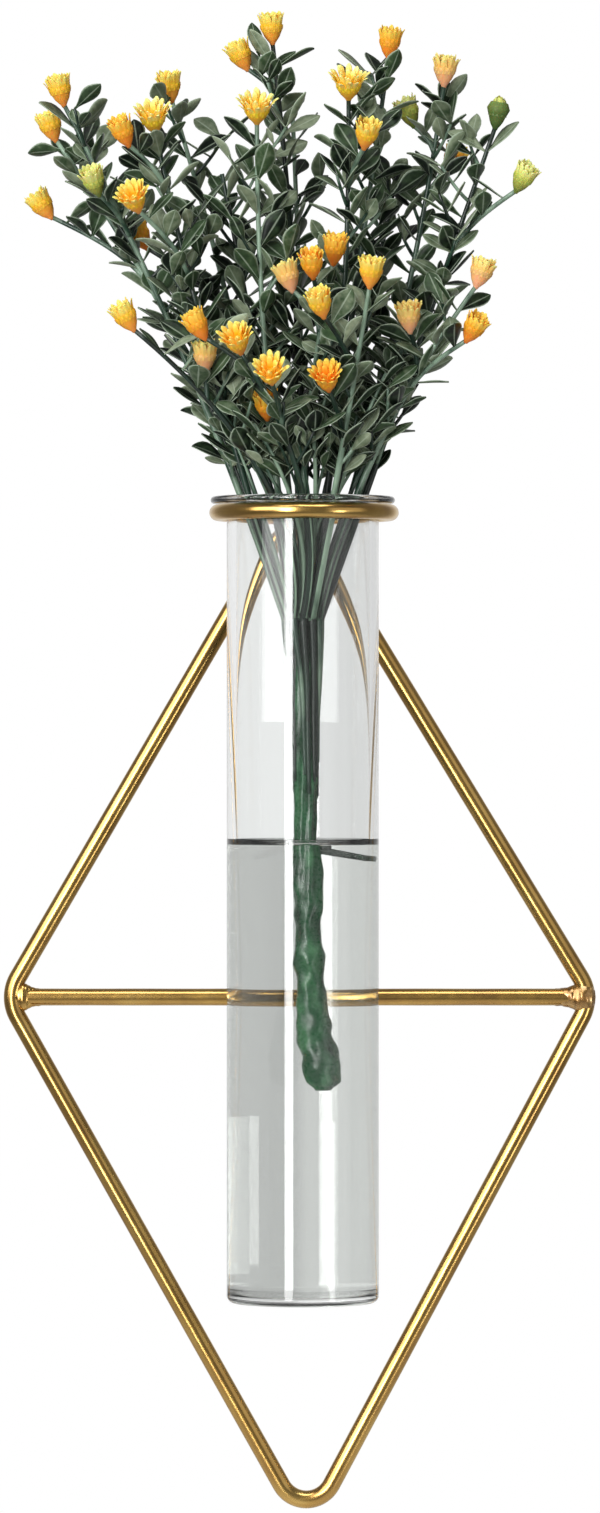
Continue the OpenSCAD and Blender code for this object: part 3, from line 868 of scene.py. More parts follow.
@dataclass
class GlassTube:
    """Straight glass tube with a closed flat bottom and a lip round its mouth, and the water in it."""

    wall: float = 1.8 * MM
    floor: float = 1.5 * MM
    tube_d: float = 30 * MM
    lip_t: float = 1.4 * MM
    foot_round: float = 1.4 * MM
    floor_round: float = 2 * MM
    lip_fillet: float = 1.2 * MM
    mouth_round: float = 0.6 * MM
    dish: tuple[tuple[float, float], ...] = ((0.0, 0.5), (0.35, 0.35), (0.7, 0.05))
    wall_rows: int = 24
    meniscus: float = 1.2 * MM
    meniscus_reach: float = 1.3
    meniscus_shares: tuple[float, ...] = (0.0, 0.12, 0.3, 0.55, 0.8, 1.0)
    sag: float = 1.02
    water_rows: int = 16
    soak: float = 0.02 * MM
    sides: int = 128
    body: str = "tube"

    def __post_init__(self) -> None:
        """Take the tube's place from its CAD node."""
        low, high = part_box("glass_tube")
        self.axis = Vector(((low[0] + high[0]) / 2, (low[1] + high[1]) / 2, 0))
        self.lip_r = (high[0] - low[0]) / 2
        self.top, self.bottom = high[2], low[2]
        self.bore_r = self.tube_d / 2 - self.wall
        self.bore_floor = self.bottom + self.floor
        self.water_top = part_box("water")[1][2]

    def build_glass(self, glass: bpy.types.Material) -> None:
        """Build the glass tube with its lip.

        Args:
            glass: Its finish.
        """
        outer, under = self.tube_d / 2, self.top - self.lip_t
        shares = [k / self.wall_rows for k in range(1, self.wall_rows)]
        wall_heights = [blend(self.bottom + self.foot_round, under - self.lip_fillet, s) for s in shares]
        high, low = self.top - self.mouth_round, self.bore_floor + self.floor_round
        bore_heights = [blend(high, low, s) for s in shares]
        section = [
            *[(outer * share, self.bottom + up * MM) for share, up in self.dish],
            *arc((outer - self.foot_round, self.bottom + self.foot_round), self.foot_round, -90, 0),
            *[(outer, z) for z in wall_heights],
            *arc((outer + self.lip_fillet, under - self.lip_fillet), self.lip_fillet, 180, 90),
            *arc((self.lip_r - self.lip_t / 2, under + self.lip_t / 2), self.lip_t / 2, -90, 90),
            *arc((self.bore_r + self.mouth_round, self.top - self.mouth_round), self.mouth_round, 90, 180),
            *[(self.bore_r, z) for z in bore_heights],
            *arc((self.bore_r - self.floor_round, low), self.floor_round, 0, -90),
            (0, self.bore_floor),
        ]
        skin = Skin()
        skin.rings(lathe_rings(section, self.axis, self.sides), along=(0, 12))
        skin.piece("blown_glass_tube", self.body, [glass], "clear_glass", ["glass_tube"])

    def build_water(self, water: bpy.types.Material) -> None:
        """Build the water, which climbs the glass a little at its edge.

        Args:
            water: Its finish.
        """
        r = self.bore_r + self.soak
        low, high = self.bore_floor - self.soak, self.water_top
        reach, shares = self.meniscus * self.meniscus_reach, self.meniscus_shares
        edge = [(r - reach * s, high - self.meniscus * s * (2 - s)) for s in shares]
        level = high - self.meniscus * self.sag
        section = [
            (0, low),
            *arc((r - self.floor_round, low + self.floor_round), self.floor_round, -90, 0),
            *[(r, blend(low + self.floor_round, high, k / self.water_rows))
              for k in range(1, self.water_rows)],
            (r, high - self.meniscus), (r, high - 0.1 * self.meniscus),
            *edge, (r * 0.5, level), (0, level),
        ]
        skin = Skin()
        skin.rings(lathe_rings(section, self.axis, self.sides), along=(0, 8))
        skin.piece("tube_water", self.body, [water], "water", ["water"])

    def build(self) -> None:
        """Build and dress the tube and its water."""
        self.build_glass(ClearGlass().make())
        # the water's grey tint is painted shade that darkens everything seen through the water
        water = ClearGlass("still_water", tint=(0.74, 0.75, 0.735), index=1.333, wave=0.01 * MM)
        self.build_water(water.make())


# The bunch


@dataclass
class Trunk:
    """Knobbly moulded foot that all the stems run into."""

    crown_drop: float = 24 * MM
    length: float = 93 * MM
    profile: tuple[tuple[float, float, float], ...] = (
        (0.00, 0.3, 1.2), (0.05, 0.4, 2.2), (0.12, 0.6, 2.4), (0.36, 0.6, 2.2), (0.49, 0.5, 2.1),
        (0.55, 0.7, 2.3), (0.60, 0.9, 2.2), (0.66, 0.7, 1.8), (0.72, 0.9, 2.3), (0.76, 1.1, 2.0),
        (0.81, 1.2, 2.3), (0.87, 1.7, 2.6), (0.94, 2.6, 3.0), (0.98, 2.9, 2.6), (1.00, 3.0, 1.2),
    )
    flute_fade: tuple[float, float] = (0.35, 0.35)
    lump_start: tuple[float, float] = (0.4, 0.2)
    flute: float = 0.13
    flute_count: int = 6
    flute_twist: float = 14
    upper_lump: float = 0.07
    lower_lump: float = 0.13
    lump_scale: float = 330
    stub_drop: float = 2.4 * MM
    stub_r: float = 0.7 * MM
    stub_taper: tuple[float, float] = (1.15, 0.75)
    stub_path: tuple[tuple[float, float], ...] = (
        (0.02, 0.2), (0.25, 0.1), (0.42, -0.4), (0.6, -0.9), (0.8, -1.4), (1.0, -1.6),
    )
    knot_shift: tuple[float, float, float] = (0.3, -0.2, 0.6)
    knot_step: tuple[float, float, float] = (0.5, 0, 0.1)
    knot_r: tuple[float, float] = (0.25, 0.6)
    sides: int = 30
    rows: int = 180
    body: str = "bunch"

    def at(self, share: float) -> tuple[float, float]:
        """Give the trunk's sideways place and radius.

        Args:
            share: Share of its length down from the crown.

        Returns:
            The place and the radius in metres.
        """
        for (s0, x0, r0), (s1, x1, r1) in zip(self.profile, self.profile[1:]):
            if share <= s1:
                part = rise((share - s0) / (s1 - s0))
                return blend(x0, x1, part) * MM, blend(r0, r1, part) * MM
        return self.profile[-1][1] * MM, self.profile[-1][2] * MM

    def ring(self, mouth: Vector, share: float) -> list[Vector]:
        """Give one ring of the trunk, fluted above like a bundle of stems and lumpy below.

        Args:
            mouth: Middle of the tube's mouth.
            share: Share of the trunk's length down from the crown.

        Returns:
            The ring's points.
        """
        x, radius = self.at(share)
        z = -self.crown_drop - share * self.length
        (fade, fade_span), (start, start_span) = self.flute_fade, self.lump_start
        flute = self.flute * (1 - rise((share - fade) / fade_span))
        lump = self.upper_lump + self.lower_lump * rise((share - start) / start_span)
        points = []
        for t in turns(self.sides):
            way = Vector((math.cos(t), math.sin(t), 0))
            swell = 1 + flute * math.cos(self.flute_count * t + self.flute_twist * share) - flute * 0.4
            swell += lump * noise.noise(Vector((way.x * 1.3, way.y * 1.3, z * self.lump_scale)))
            points.append(mouth + Vector((x, 0, z)) + way * radius * swell)
        return points

    def build(self, mouth: Vector, bark: bpy.types.Material) -> None:
        """Build the trunk and its side stub.

        Args:
            mouth: Middle of the tube's mouth.
            bark: Its finish.
        """
        skin = Skin()
        skin.rings([self.ring(mouth, k / self.rows) for k in range(self.rows + 1)], along=(0, 4))
        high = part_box("trunk")[1]
        stub_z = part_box("water")[1][2] - self.stub_drop
        reach = high[0] - mouth.x
        path = [Vector((mouth.x + x * reach, mouth.y, stub_z + up * MM)) for x, up in self.stub_path]
        skin.rings(tube_rings(path, lambda s: self.stub_r * blend(*self.stub_taper, s), 10), tone=0.0)
        knot, step = path[1] + Vector(self.knot_shift) * MM, Vector(self.knot_step) * MM
        end_r, more_r = self.knot_r
        skin.rings(tube_rings([knot + step * k for k in range(-2, 3)],
                              lambda s: (end_r + more_r * math.sin(math.pi * s)) * MM, 10), tone=0.0)
        skin.piece("knobbly_trunk", self.body, [bark], "trunk_plastic", ["trunk"])


@dataclass
class FlowerHead:
    """A cone of joined petals with rows of straps that fray out of it, in millimetres."""

    height: float = 5.6
    width: float = 7.4
    flare: float = 0.78
    open_flare: float = 1.0
    bud_flare: float = 0.34
    neck: tuple[tuple[float, float], ...] = ((0.42, -0.9), (0.60, -0.4), (0.95, 0.1))
    cup: tuple[tuple[float, float], ...] = (
        (0.48, 0.30), (0.58, 0.44), (0.60, 0.56), (0.46, 0.60), (0.2, 0.52),
    )
    bud: tuple[tuple[float, float], ...] = (
        (0.48, 0.30), (0.58, 0.44), (0.68, 0.60), (0.52, 0.82), (0.2, 0.90),
    )
    ripple: float = 0.05
    sides: int = 24
    strap_rows: tuple[tuple[int, float, float, float, float], ...] = (
        (12, 0.53, 1.0, 0.96, 1.15), (10, 0.42, 0.78, 1.06, 1.05), (7, 0.24, 0.46, 1.02, 0.95),
    )
    strap_foot: float = 0.34
    strap_out: float = 1.5
    strap_up: float = 1.25
    strap_shares: tuple[float, ...] = (0, 0.22, 0.44, 0.66, 0.85, 1.0)
    strap_t: float = 0.1
    strap_crown: float = 0.14
    strap_hollow: float = 0.12
    strap_back: float = 0.06
    strap_ridge: float = 0.6
    strap_belly: tuple[float, float] = (0.85, 0.3)
    strap_end: float = 0.5
    collar: tuple[float, float, float] = (0.26, 0.45, 0.14)
    turn_chance: float = 0.2
    reach_chance: tuple[float, float] = (0.86, 1.04)
    rise_chance: tuple[float, float] = (0.86, 1.0)

    def strap(self, skin: Skin, seat: Matrix, turn: float, path: Sequence[tuple[float, float]],
              width: float, tone: float) -> None:
        """Add one strap petal that rises and flares along a section.

        Args:
            skin: Mesh that it joins.
            seat: Where the head sits.
            turn: Its direction round the head in radians.
            path: Radius and height along it.
            width: Its width.
            tone: Its tone.
        """
        out, side, up = heading(turn, 0), Vector((-math.sin(turn), math.cos(turn), 0)), Vector((0, 0, 1))
        rings, last, (foot, belly) = [], len(path) - 1, self.strap_belly
        for k, (r, z) in enumerate(path):
            w = width / 2 * (foot + belly * math.sin(math.pi * min(k / last * 1.1, 1)))
            w *= self.strap_end if k == last else 1
            middle = out * r + up * z
            edge = up * self.strap_hollow * w - out * self.strap_hollow * w
            back, ridge = up * self.strap_crown - out * self.strap_back, side * w * self.strap_ridge
            rings.append([seat @ (place * MM) for place in (
                middle - side * w + edge, middle + out * self.strap_t, middle + side * w + edge,
                middle + ridge + back, middle - out * self.strap_t + up * self.strap_t,
                middle - ridge + back)])
        skin.rings(rings, tone=tone, along=(0.35, 1.0), smooth=False)

    def add(self, skin: Skin, seat: Matrix, kind: HeadKind, opened: bool, dice: random.Random) -> None:
        """Add one flower head.

        Args:
            skin: Mesh that it joins.
            seat: Where the head sits, in metres.
            kind: What it looks like.
            opened: Whether its straps spread wide.
            dice: Chance that makes each head a little different.
        """
        closed = kind is HeadKind.BUD
        h, r = self.height, self.width / 2 * kind.share
        flare = self.bud_flare if closed else self.open_flare if opened else self.flare
        share, more, up = self.collar
        cone = [*self.neck, (share * r + more, up * h)]
        cone += [(x * r, z * h) for x, z in (self.bud if closed else self.cup)]
        rings = []
        for k, (radius, z) in enumerate(cone):
            ring = []
            for s, t in enumerate(turns(self.sides)):
                wave = 1 + (self.ripple if s % 2 else -self.ripple) * min(k / 4, 1)
                flat = (radius * wave * math.cos(t), radius * wave * math.sin(t))
                ring.append(seat @ (Vector((*flat, z)) * MM))
            rings.append(ring)
        skin.rings(rings, along=(0.0, 0.55))
        for row, (count, start, end, top, width) in enumerate(self.strap_rows):
            for k in range(count):
                astray = dice.uniform(-self.turn_chance, self.turn_chance)
                turn = 2 * math.pi * (k + 0.5 * row + astray) / count
                far = end * r * flare * dice.uniform(*self.reach_chance)
                tall = top * h * dice.uniform(*self.rise_chance)
                path = [(blend(start * r, far, s ** self.strap_out),
                         blend(self.strap_foot * h, tall, 1 - (1 - s) ** self.strap_up))
                        for s in self.strap_shares]
                self.strap(skin, seat, turn, path, width, dice.random())


@dataclass
class Bunch:
    """Eighteen sprigs of plastic stems, leaves and flower heads on one trunk, in millimetres."""

    crown_drop: float = 24
    slot_r: float = 3.6
    inner_slot_r: float = 1.7
    mouth_r: float = 12.2
    inner_mouth_share: float = 0.45
    stem_d: float = 1.4
    twig_d: float = 0.9
    twig_foot_d: float = 1.0
    twig_leaf_pitch: float = 5.0
    twig_leaf: float = 0.95
    twig_bow: float = 0.10
    twig_drop: float = 4
    twig_reach: float = 1.1
    twig_rows: int = 12
    stem_rows: int = 30
    bare_foot: float = 12
    bare_tip: float = 5
    leaf_len: float = 7.5
    leaf_w: float = 3.0
    leaf_pitch: float = 6.5
    leaf_outline: tuple[tuple[float, float], ...] = (
        (0.0, 0.15), (0.10, 0.18), (0.22, 0.38), (0.36, 0.68), (0.50, 0.92), (0.62, 1.0), (0.75, 0.90),
        (0.87, 0.62), (0.95, 0.34), (1.0, 0.10),
    )
    leaf_section: tuple[tuple[float, float], ...] = (
        (-1, 0.05), (-0.5, 0.16), (0, 0.2), (0.5, 0.16), (1, 0.05),
        (1, -0.05), (0.5, -0.14), (0, -0.16), (-0.5, -0.14), (-1, -0.05),
    )
    leaf_across: tuple[float, ...] = (0, 0.25, 0.5, 0.75, 1, 1, 0.75, 0.5, 0.25, 0, 0)
    leaf_roll: float = 0.9
    leaf_breadth: tuple[float, float] = (0.85, 1.35)
    leaf_bow: tuple[float, float] = (-0.12, 0.18)
    leaf_fold: tuple[float, float] = (0.12, 0.45)
    leaf_stretch: tuple[float, float] = (1.05, 1.30)
    leaf_tries: tuple[float, ...] = (1.0, 0.75, 0.55)
    leaf_climb: float = 38
    leaf_sway: float = 14
    pair_turns: tuple[float, float, float] = (37, 90, 169)
    turn_phase: tuple[float, float] = (73, 40)
    climb_phase: tuple[float, float] = (101, 59)
    box_room: float = 1.5
    head_room: float = 0.55
    shoot_len: tuple[float, float] = (5, 10)
    shoot_curve: tuple[float, float, float] = (0.62, 0.55, 0.25)
    shoot_r: tuple[float, float] = (0.4, 0.3)
    shoot_leaves: tuple[tuple[int, float], ...] = ((5, 0.9), (3, 0.75))
    shoot_climb: float = 50
    flower_seat: float = 0.3
    head: FlowerHead = field(default_factory=FlowerHead)
    outer: int = 12
    inner: int = 6
    body: str = "bunch"
    tips: tuple[tuple[float, float, float], ...] = (
        (38, 1, 73), (28, 8, 82), (19, 13, 66), (-2, 15, 76), (-26, 10, 79), (-49, 7, 71),
        (-47, -5, 77), (-29, -12, 71), (-33, -18, 32), (-12, -27, 27), (13, -24, 40), (34, -9, 41),
        (17, 3, 87), (-6, 4, 90), (-16, 4, 64), (-9, -9, 73), (6, -16, 45), (9, -6, 78),
    )
    twigs: tuple[tuple[int, float, float, float], ...] = (
        (1, 42, -6, 60), (2, 29, 13, 65), (2, 22, 9, 74),
        (5, -31, 14, 50), (6, -50, 11, 56), (7, -40, -10, 59), (8, -34, -18, 68),
        (8, -32, -20, 55), (9, -19, -16, 24), (10, -19, -24, 30), (10, -6, -31, 21),
        (11, 4, -28, 34), (11, 5, -24, 20), (12, 32, -16, 30), (12, 21, -12, 32),
        (14, -11, 6, 85), (16, -7, -12, 15), (17, 2, -22, 42), (17, -2, -12, 40), (18, 12, -12, 68),
    )
    bare: tuple[int, ...] = (3, 4, 15)
    nod: float = 0.62
    strand_end_r: float = 2.35
    strand_len: tuple[float, float] = (24, 38)
    strand_end_d: float = 0.7
    strand_wander: float = 0.5
    strand_rows: int = 14
    thread_rows: int = 8
    trunk_x: float = 0.6
    slight_nod: float = 0.12
    head_lean: float = 0.5
    head_middle: float = 0.6
    tip_kinds: dict[int, HeadKind] = field(default_factory=lambda: {
        1: HeadKind.BUD, 2: HeadKind.PEACH, 8: HeadKind.LARGE, 12: HeadKind.PEACH, 13: HeadKind.DEEP,
        16: HeadKind.LARGE, 17: HeadKind.DEEP, 18: HeadKind.LARGE,
    })
    twig_kinds: dict[int, HeadKind] = field(default_factory=lambda: {
        0: HeadKind.LIME, 1: HeadKind.DEEP, 2: HeadKind.LIME, 3: HeadKind.DEEP, 5: HeadKind.LIME,
        6: HeadKind.DEEP, 8: HeadKind.PEACH, 9: HeadKind.DEEP, 12: HeadKind.DEEP, 13: HeadKind.DEEP,
        14: HeadKind.PEACH, 16: HeadKind.DEEP, 17: HeadKind.DEEP, 18: HeadKind.PEACH,
    })
    companions: tuple[tuple[float, float, float], ...] = (
        (0.5, 0.78, 1.0), (0.2, 0.92, 0.72), (0.8, 0.55, 0.72),
    )
    companion_foot_r: float = 2.6
    companion_height: tuple[float, float] = (0.45, 0.62)
    companion_d: tuple[float, float] = (1.1, 0.7)
    companion_rows: int = 18
    companion_bare: int = 9
    companion_leaf: float = 0.9
    thread_d: float = 0.55
    thread_turn: tuple[float, float] = (0.7, 1.3)
    thread_reach: float = 0.42
    open_tips: tuple[int, ...] = (8, 10, 16, 18)
    open_twigs: tuple[int, ...] = (7, 10, 12)
    edge_chance: float = 12
    edge_leaves: tuple[tuple[int, float, float, float], ...] = (
        (-1, 17.6, 7.4, 22), (-1, 12.0, 4.5, 24), (-1, 6.4, 4.8, 12), (-1, 34.0, 6.5, 5), (-1, 45.6, 6.2, 14),
        (-1, 69.0, 7.0, -4), (1, 22.0, 7.2, 4), (1, 17.0, 6.0, 14), (1, 12.4, 5.6, 8), (1, 4.5, 6.0, 55),
        (1, 32.0, 6.6, 6), (1, 42.0, 6.0, -2),
    )

    def __post_init__(self) -> None:
        """Find the middle of the tube's mouth, and the middles of all flower heads from there."""
        low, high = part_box("glass_tube")
        self.mouth = Vector(((low[0] + high[0]) / 2, (low[1] + high[1]) / 2, high[2]))
        seats = [seat for i in range(len(self.tips)) for seat in self.seats(i)]
        self.heads = [tip + way * self.head_middle * self.head.height for tip, way, _, _ in seats]

    def slot_angle(self, i: int) -> float:
        """Give the angle of the slot that a sprig stands in, in radians."""
        share = i / self.outer if i < self.outer else (i - self.outer + 0.5) / self.inner
        return math.radians(360 * share)

    def stem_at(self, i: int, z: float) -> Vector:
        """Give a place on a stem in millimetres from the mouth's middle.

        Args:
            i: Which sprig, from 0.
            z: Height over the mouth.

        Returns:
            The place.
        """
        a = self.slot_angle(i)
        way = Vector((math.cos(a), math.sin(a)))
        slot = way * (self.slot_r if i < self.outer else self.inner_slot_r)
        mouth = way * self.mouth_r * (1 if i < self.outer else self.inner_mouth_share)
        x, y, top = self.tips[i]
        return bowed(z, -self.crown_drop, top, slot, mouth, Vector((x, y)))

    def stem_lean(self, i: int) -> Vector:
        """Give how a stem leans at its tip, per millimetre of height."""
        top = self.tips[i][2]
        return self.stem_at(i, top) - self.stem_at(i, top - 1)

    def twig_foot(self, t: int) -> Vector:
        """Give the place where a twig leaves its stem.

        Args:
            t: Which twig, from 0.

        Returns:
            The place in millimetres from the mouth's middle.
        """
        sprig, x, y, z = self.twigs[t]
        top, tip = self.tips[sprig - 1][2], Vector((x, y, z))
        reach = (tip - self.stem_at(sprig - 1, min(z, top))).length
        drop = max(self.twig_drop, self.twig_reach * reach)
        return self.stem_at(sprig - 1, min(max(self.twig_drop, z - drop), top - 3))

    def twig_at(self, t: int, share: float) -> Vector:
        """Give a place on a twig, which leaves its stem upwards and bows out to its tip.

        Args:
            t: Which twig, from 0.
            share: Share of its length from its foot.

        Returns:
            The place in millimetres from the mouth's middle.
        """
        foot, tip = self.twig_foot(t), Vector(self.twigs[t][1:])
        bow = self.twig_bow * (tip - foot).length * math.sin(math.pi * share)
        out = Vector((tip.x - foot.x, tip.y - foot.y, 0))
        side = -out.normalized() if out.length > 1 else Vector((0, 0, 0))
        return foot.lerp(tip, share) + side * bow

    def world(self, place: Vector) -> Vector:
        """Turn millimetres from the mouth's middle into metres in the frame."""
        return self.mouth + place * MM

    def leaf(self, skin: Skin, foot: Vector, turn: float, climb: float, length: float,
             dice: random.Random) -> None:
        """Add one leaf: blunt, widest past its middle, folded at its midrib and bowed.

        Args:
            skin: Mesh that it joins.
            foot: Its foot in millimetres from the mouth's middle.
            turn: Its direction round the stem in radians.
            climb: How steeply it rises in radians.
            length: Its length in millimetres.
            dice: Chance that makes each leaf a little different.
        """
        way, side = heading(turn, climb), Vector((-math.sin(turn), math.cos(turn), 0))
        up = way.cross(side)
        roll = Matrix.Rotation(dice.uniform(-self.leaf_roll, self.leaf_roll), 3, way)
        side, up = roll @ side, roll @ up
        half = self.leaf_w / 2 * length / self.leaf_len * dice.uniform(*self.leaf_breadth)
        bow, fold = dice.uniform(*self.leaf_bow) * length, dice.uniform(*self.leaf_fold)
        rings = []
        for s, w in self.leaf_outline:
            middle = foot + way * length * s + up * bow * s * s
            rings.append([self.world(middle + side * x * w * half + up * (abs(x) * w * half * fold + lift))
                          for x, lift in self.leaf_section])
        skin.rings(rings, slot=1, tone=dice.random(), across=self.leaf_across)

    def clear(self, foot: Vector, turn: float, climb: float, length: float) -> bool:
        """Tell whether a leaf keeps in the CAD box, in front of the wall, and off the flower heads.

        Args:
            foot: Its foot in millimetres from the mouth's middle.
            turn: Its direction in radians.
            climb: How steeply it rises in radians.
            length: Its length in millimetres.

        Returns:
            Whether it does.
        """
        tip = foot + length * heading(turn, climb)
        place, room = self.world(tip), self.box_room * MM
        low, high = CAD_BOX
        inside = all(low[k] + room < place[k] < high[k] - room for k in range(3))
        return inside and min((tip - head).length for head in self.heads) > self.head.width * self.head_room

    def seats(self, i: int) -> list[tuple[Vector, Vector, HeadKind, bool]]:
        """Give the heads of a sprig.

        Args:
            i: Which sprig, from 0.

        Returns:
            For each head its tip in millimetres from the mouth's middle, its direction, its kind and
            whether it is wide open.
        """
        found = []
        if i + 1 not in self.bare:
            opened = i + 1 in self.open_tips
            way = self.head_way(self.stem_lean(i), opened)
            kind = self.tip_kinds.get(i + 1, HeadKind.GOLDEN)
            found.append((self.stem_at(i, self.tips[i][2]), way, kind, opened))
        for t, twig in enumerate(self.twigs):
            if twig[0] == i + 1:
                tip, foot = Vector(twig[1:]), self.twig_foot(t)
                opened = t in self.open_twigs
                way = self.head_way((tip - foot) / (tip.z - foot.z), opened)
                found.append((tip, way, self.twig_kinds.get(t, HeadKind.GOLDEN), opened))
        return found

    def head_way(self, lean: Vector, nods: bool) -> Vector:
        """Give the direction that a head faces.

        Args:
            lean: How its stem or twig leans, per millimetre of height.
            nods: Whether it nods forward, so that its inside shows.

        Returns:
            The direction.
        """
        nod = self.nod if nods else self.slight_nod
        return Vector((self.head_lean * lean.x, self.head_lean * lean.y - nod, 1)).normalized()

    def sway(self, phase: tuple[float, float], k: float, i: int) -> float:
        """Give how far pair k of sprig i strays from its angle, in degrees."""
        return self.leaf_sway * math.sin(math.radians(phase[0] * k + phase[1] * i))

    def leaf_pair(self, skin: Skin, i: int, foot: Vector, k: float, share: float,
                  dice: random.Random) -> None:
        """Add two leaves on opposite sides of a stem.

        Args:
            skin: Mesh that they join.
            i: Which sprig, from 0.
            foot: Where they grow, in millimetres from the mouth's middle.
            k: Number of the pair, which turns it.
            share: Size beside a full leaf.
            dice: Chance that makes each leaf a little different.
        """
        per_sprig, per_pair, across = self.pair_turns
        for opposite in (0, 1):
            turn = math.degrees(self.slot_angle(i)) + per_sprig * i + per_pair * k + across * opposite
            turn += self.sway(self.turn_phase, k, i)
            climb = self.leaf_climb + self.sway(self.climb_phase, k + 2 * opposite, i)
            for length in self.leaf_tries:
                length *= self.leaf_len * share * dice.uniform(*self.leaf_stretch)
                if self.clear(foot, math.radians(turn), math.radians(climb), length):
                    self.leaf(skin, foot, math.radians(turn), math.radians(climb), length, dice)
                    break

    def shoot(self, skin: Skin, i: int, foot: Vector, turn: float, length: float,
              dice: random.Random) -> None:
        """Add a short side shoot that ends in a fork of leaves.

        Args:
            skin: Mesh that it joins.
            i: Which sprig, from 0.
            foot: Where it grows, in millimetres from the mouth's middle.
            turn: Its direction in radians.
            length: Its length in millimetres.
            dice: Chance that makes each shoot a little different.
        """
        if not self.clear(foot, turn, math.radians(self.shoot_climb), length + 0.8 * self.leaf_len):
            return
        way, up, (out, climb, bow) = heading(turn, 0), Vector((0, 0, 1)), self.shoot_curve
        path = [foot + way * length * out * s + up * length * (climb * s + bow * s * s)
                for s in (0, 0.2, 0.4, 0.6, 0.8, 1.0)]
        skin.rings(tube_rings([self.world(p) for p in path], lambda s: blend(*self.shoot_r, s) * MM, 7),
                   tone=dice.random())
        for step, share in self.shoot_leaves:
            self.leaf_pair(skin, i, path[step], dice.randrange(12), share, dice)

    def strand(self, skin: Skin, i: int, dice: random.Random) -> None:
        """Add the strand by which a stem runs down into the trunk, and two threads beside the stem.

        Args:
            skin: Mesh that it joins.
            i: Which sprig, from 0.
            dice: Chance that makes each strand a little different.
        """
        start, wander = self.slot_angle(i), dice.uniform(-self.strand_wander, self.strand_wander)
        depth, first = dice.uniform(*self.strand_len), self.crown_drop - 1
        reach = self.slot_r if i < self.outer else self.inner_slot_r
        path = []
        for k in range(self.strand_rows + 1):
            s = k / self.strand_rows
            r = blend(reach, self.strand_end_r, rise(min(1, s * 1.6)))
            a = start + wander * s
            x, y = self.trunk_x * rise(s * 2) + r * math.cos(a), r * math.sin(a)
            path.append(self.world(Vector((x, y, -first - depth * s))))
        skin.rings(tube_rings(path, lambda s: blend(self.stem_d, self.strand_end_d, s) / 2 * MM, 8),
                   along=(0, 5), tone=dice.random())
        rows = self.thread_rows
        pale = [self.stem_at(i, blend(-self.crown_drop, 0, k / rows)) for k in range(rows + 1)]
        for side in (-1, 1):
            turned = start + side * dice.uniform(*self.thread_turn)
            beside = heading(turned, 0) * self.thread_reach * self.stem_d
            thin = [self.world(place + beside) for place in pale]
            skin.rings(tube_rings(thin, lambda s: self.thread_d / 2 * MM, 6), along=(0, 8),
                       tone=0.5 + 0.5 * side)

    def companion(self, skin: Skin, i: int, swing: float, spread: float, size: float,
                  dice: random.Random) -> None:
        """Add a lower leafy stem that stands between a sprig and the next one round the trunk.

        Args:
            skin: Mesh that it joins.
            i: Which sprig, from 0.
            swing: Share of the way round to the next sprig.
            spread: How far out it passes the tube's mouth, beside a sprig.
            size: Size beside a full companion.
            dice: Chance that makes each one a little different.
        """
        n = (i + 1) % self.outer
        top = min(self.tips[i][2], self.tips[n][2]) * dice.uniform(*self.companion_height) * size
        out = heading(self.slot_angle(i) + 2 * math.pi * swing / self.outer, 0)
        foot, mouth = out * self.companion_foot_r, out * self.mouth_r * spread
        tip = self.stem_at(i, top).lerp(self.stem_at(n, top), swing)
        low, rows = -self.crown_drop, self.companion_rows
        places = [bowed(blend(low, top, k / rows), low, top, foot, mouth, tip) for k in range(rows + 1)]
        skin.rings(tube_rings([self.world(p) for p in places],
                              lambda s: blend(*self.companion_d, s) / 2 * size * MM, 8),
                   along=(0, 8), tone=dice.random())
        for k, place in enumerate(places[self.companion_bare:]):
            if place.z > 3 and k % 2 == 0:
                self.leaf_pair(skin, i, place, k + 0.5, self.companion_leaf * size, dice)

    def edge_stem(self, side: int, z: float) -> int:
        """Give the sprig whose stem reaches furthest to one side.

        Args:
            side: -1 for left, 1 for right.
            z: Height over the mouth in millimetres.

        Returns:
            The sprig, from 0.
        """
        tall = [i for i, tip in enumerate(self.tips) if tip[2] > z]
        return max(tall, key=lambda i: side * self.stem_at(i, z).x)

    def build_green(self, i: int, finishes: Sequence[bpy.types.Material]) -> None:
        """Build the stem, twigs, shoots and leaves of a sprig.

        Args:
            i: Which sprig, from 0.
            finishes: Materials of the stem and of the leaves.
        """
        dice = random.Random(100 + i)
        skin, top = Skin(), self.tips[i][2]
        rows = self.stem_rows
        heights = [blend(-self.crown_drop - 0.5, top, k / rows) for k in range(rows + 1)]
        path = [self.world(self.stem_at(i, z)) for z in heights]
        skin.rings(tube_rings(path,
                              lambda s: blend(self.stem_d, self.twig_d, rise(s * 1.1 - 0.1)) / 2 * MM, 10),
                   along=(0, 12), tone=dice.random())
        pairs = int((top - self.bare_foot) // self.leaf_pitch)
        for k in range(pairs + 1):
            foot = self.stem_at(i, top - self.bare_tip - k * self.leaf_pitch)
            self.leaf_pair(skin, i, foot, k, 1.0, dice)
            between = self.stem_at(i, foot.z - self.leaf_pitch / 2)
            self.shoot(skin, i, between, dice.uniform(0, 2 * math.pi), dice.uniform(*self.shoot_len), dice)
        for t, twig in enumerate(self.twigs):
            if twig[0] == i + 1:
                rows = self.twig_rows
                path = [self.world(self.twig_at(t, k / rows)) for k in range(rows + 1)]
                skin.rings(tube_rings(path, lambda s: blend(self.twig_foot_d, self.twig_d, s) / 2 * MM, 8),
                           along=(0, 6), tone=dice.random())
                length, pitch = (Vector(twig[1:]) - self.twig_foot(t)).length, self.twig_leaf_pitch
                for k in range(max(1, int(length / pitch))):
                    seat = self.twig_at(t, 1 - pitch * (k + 0.5) / length)
                    self.leaf_pair(skin, i, seat, t + k, self.twig_leaf, dice)
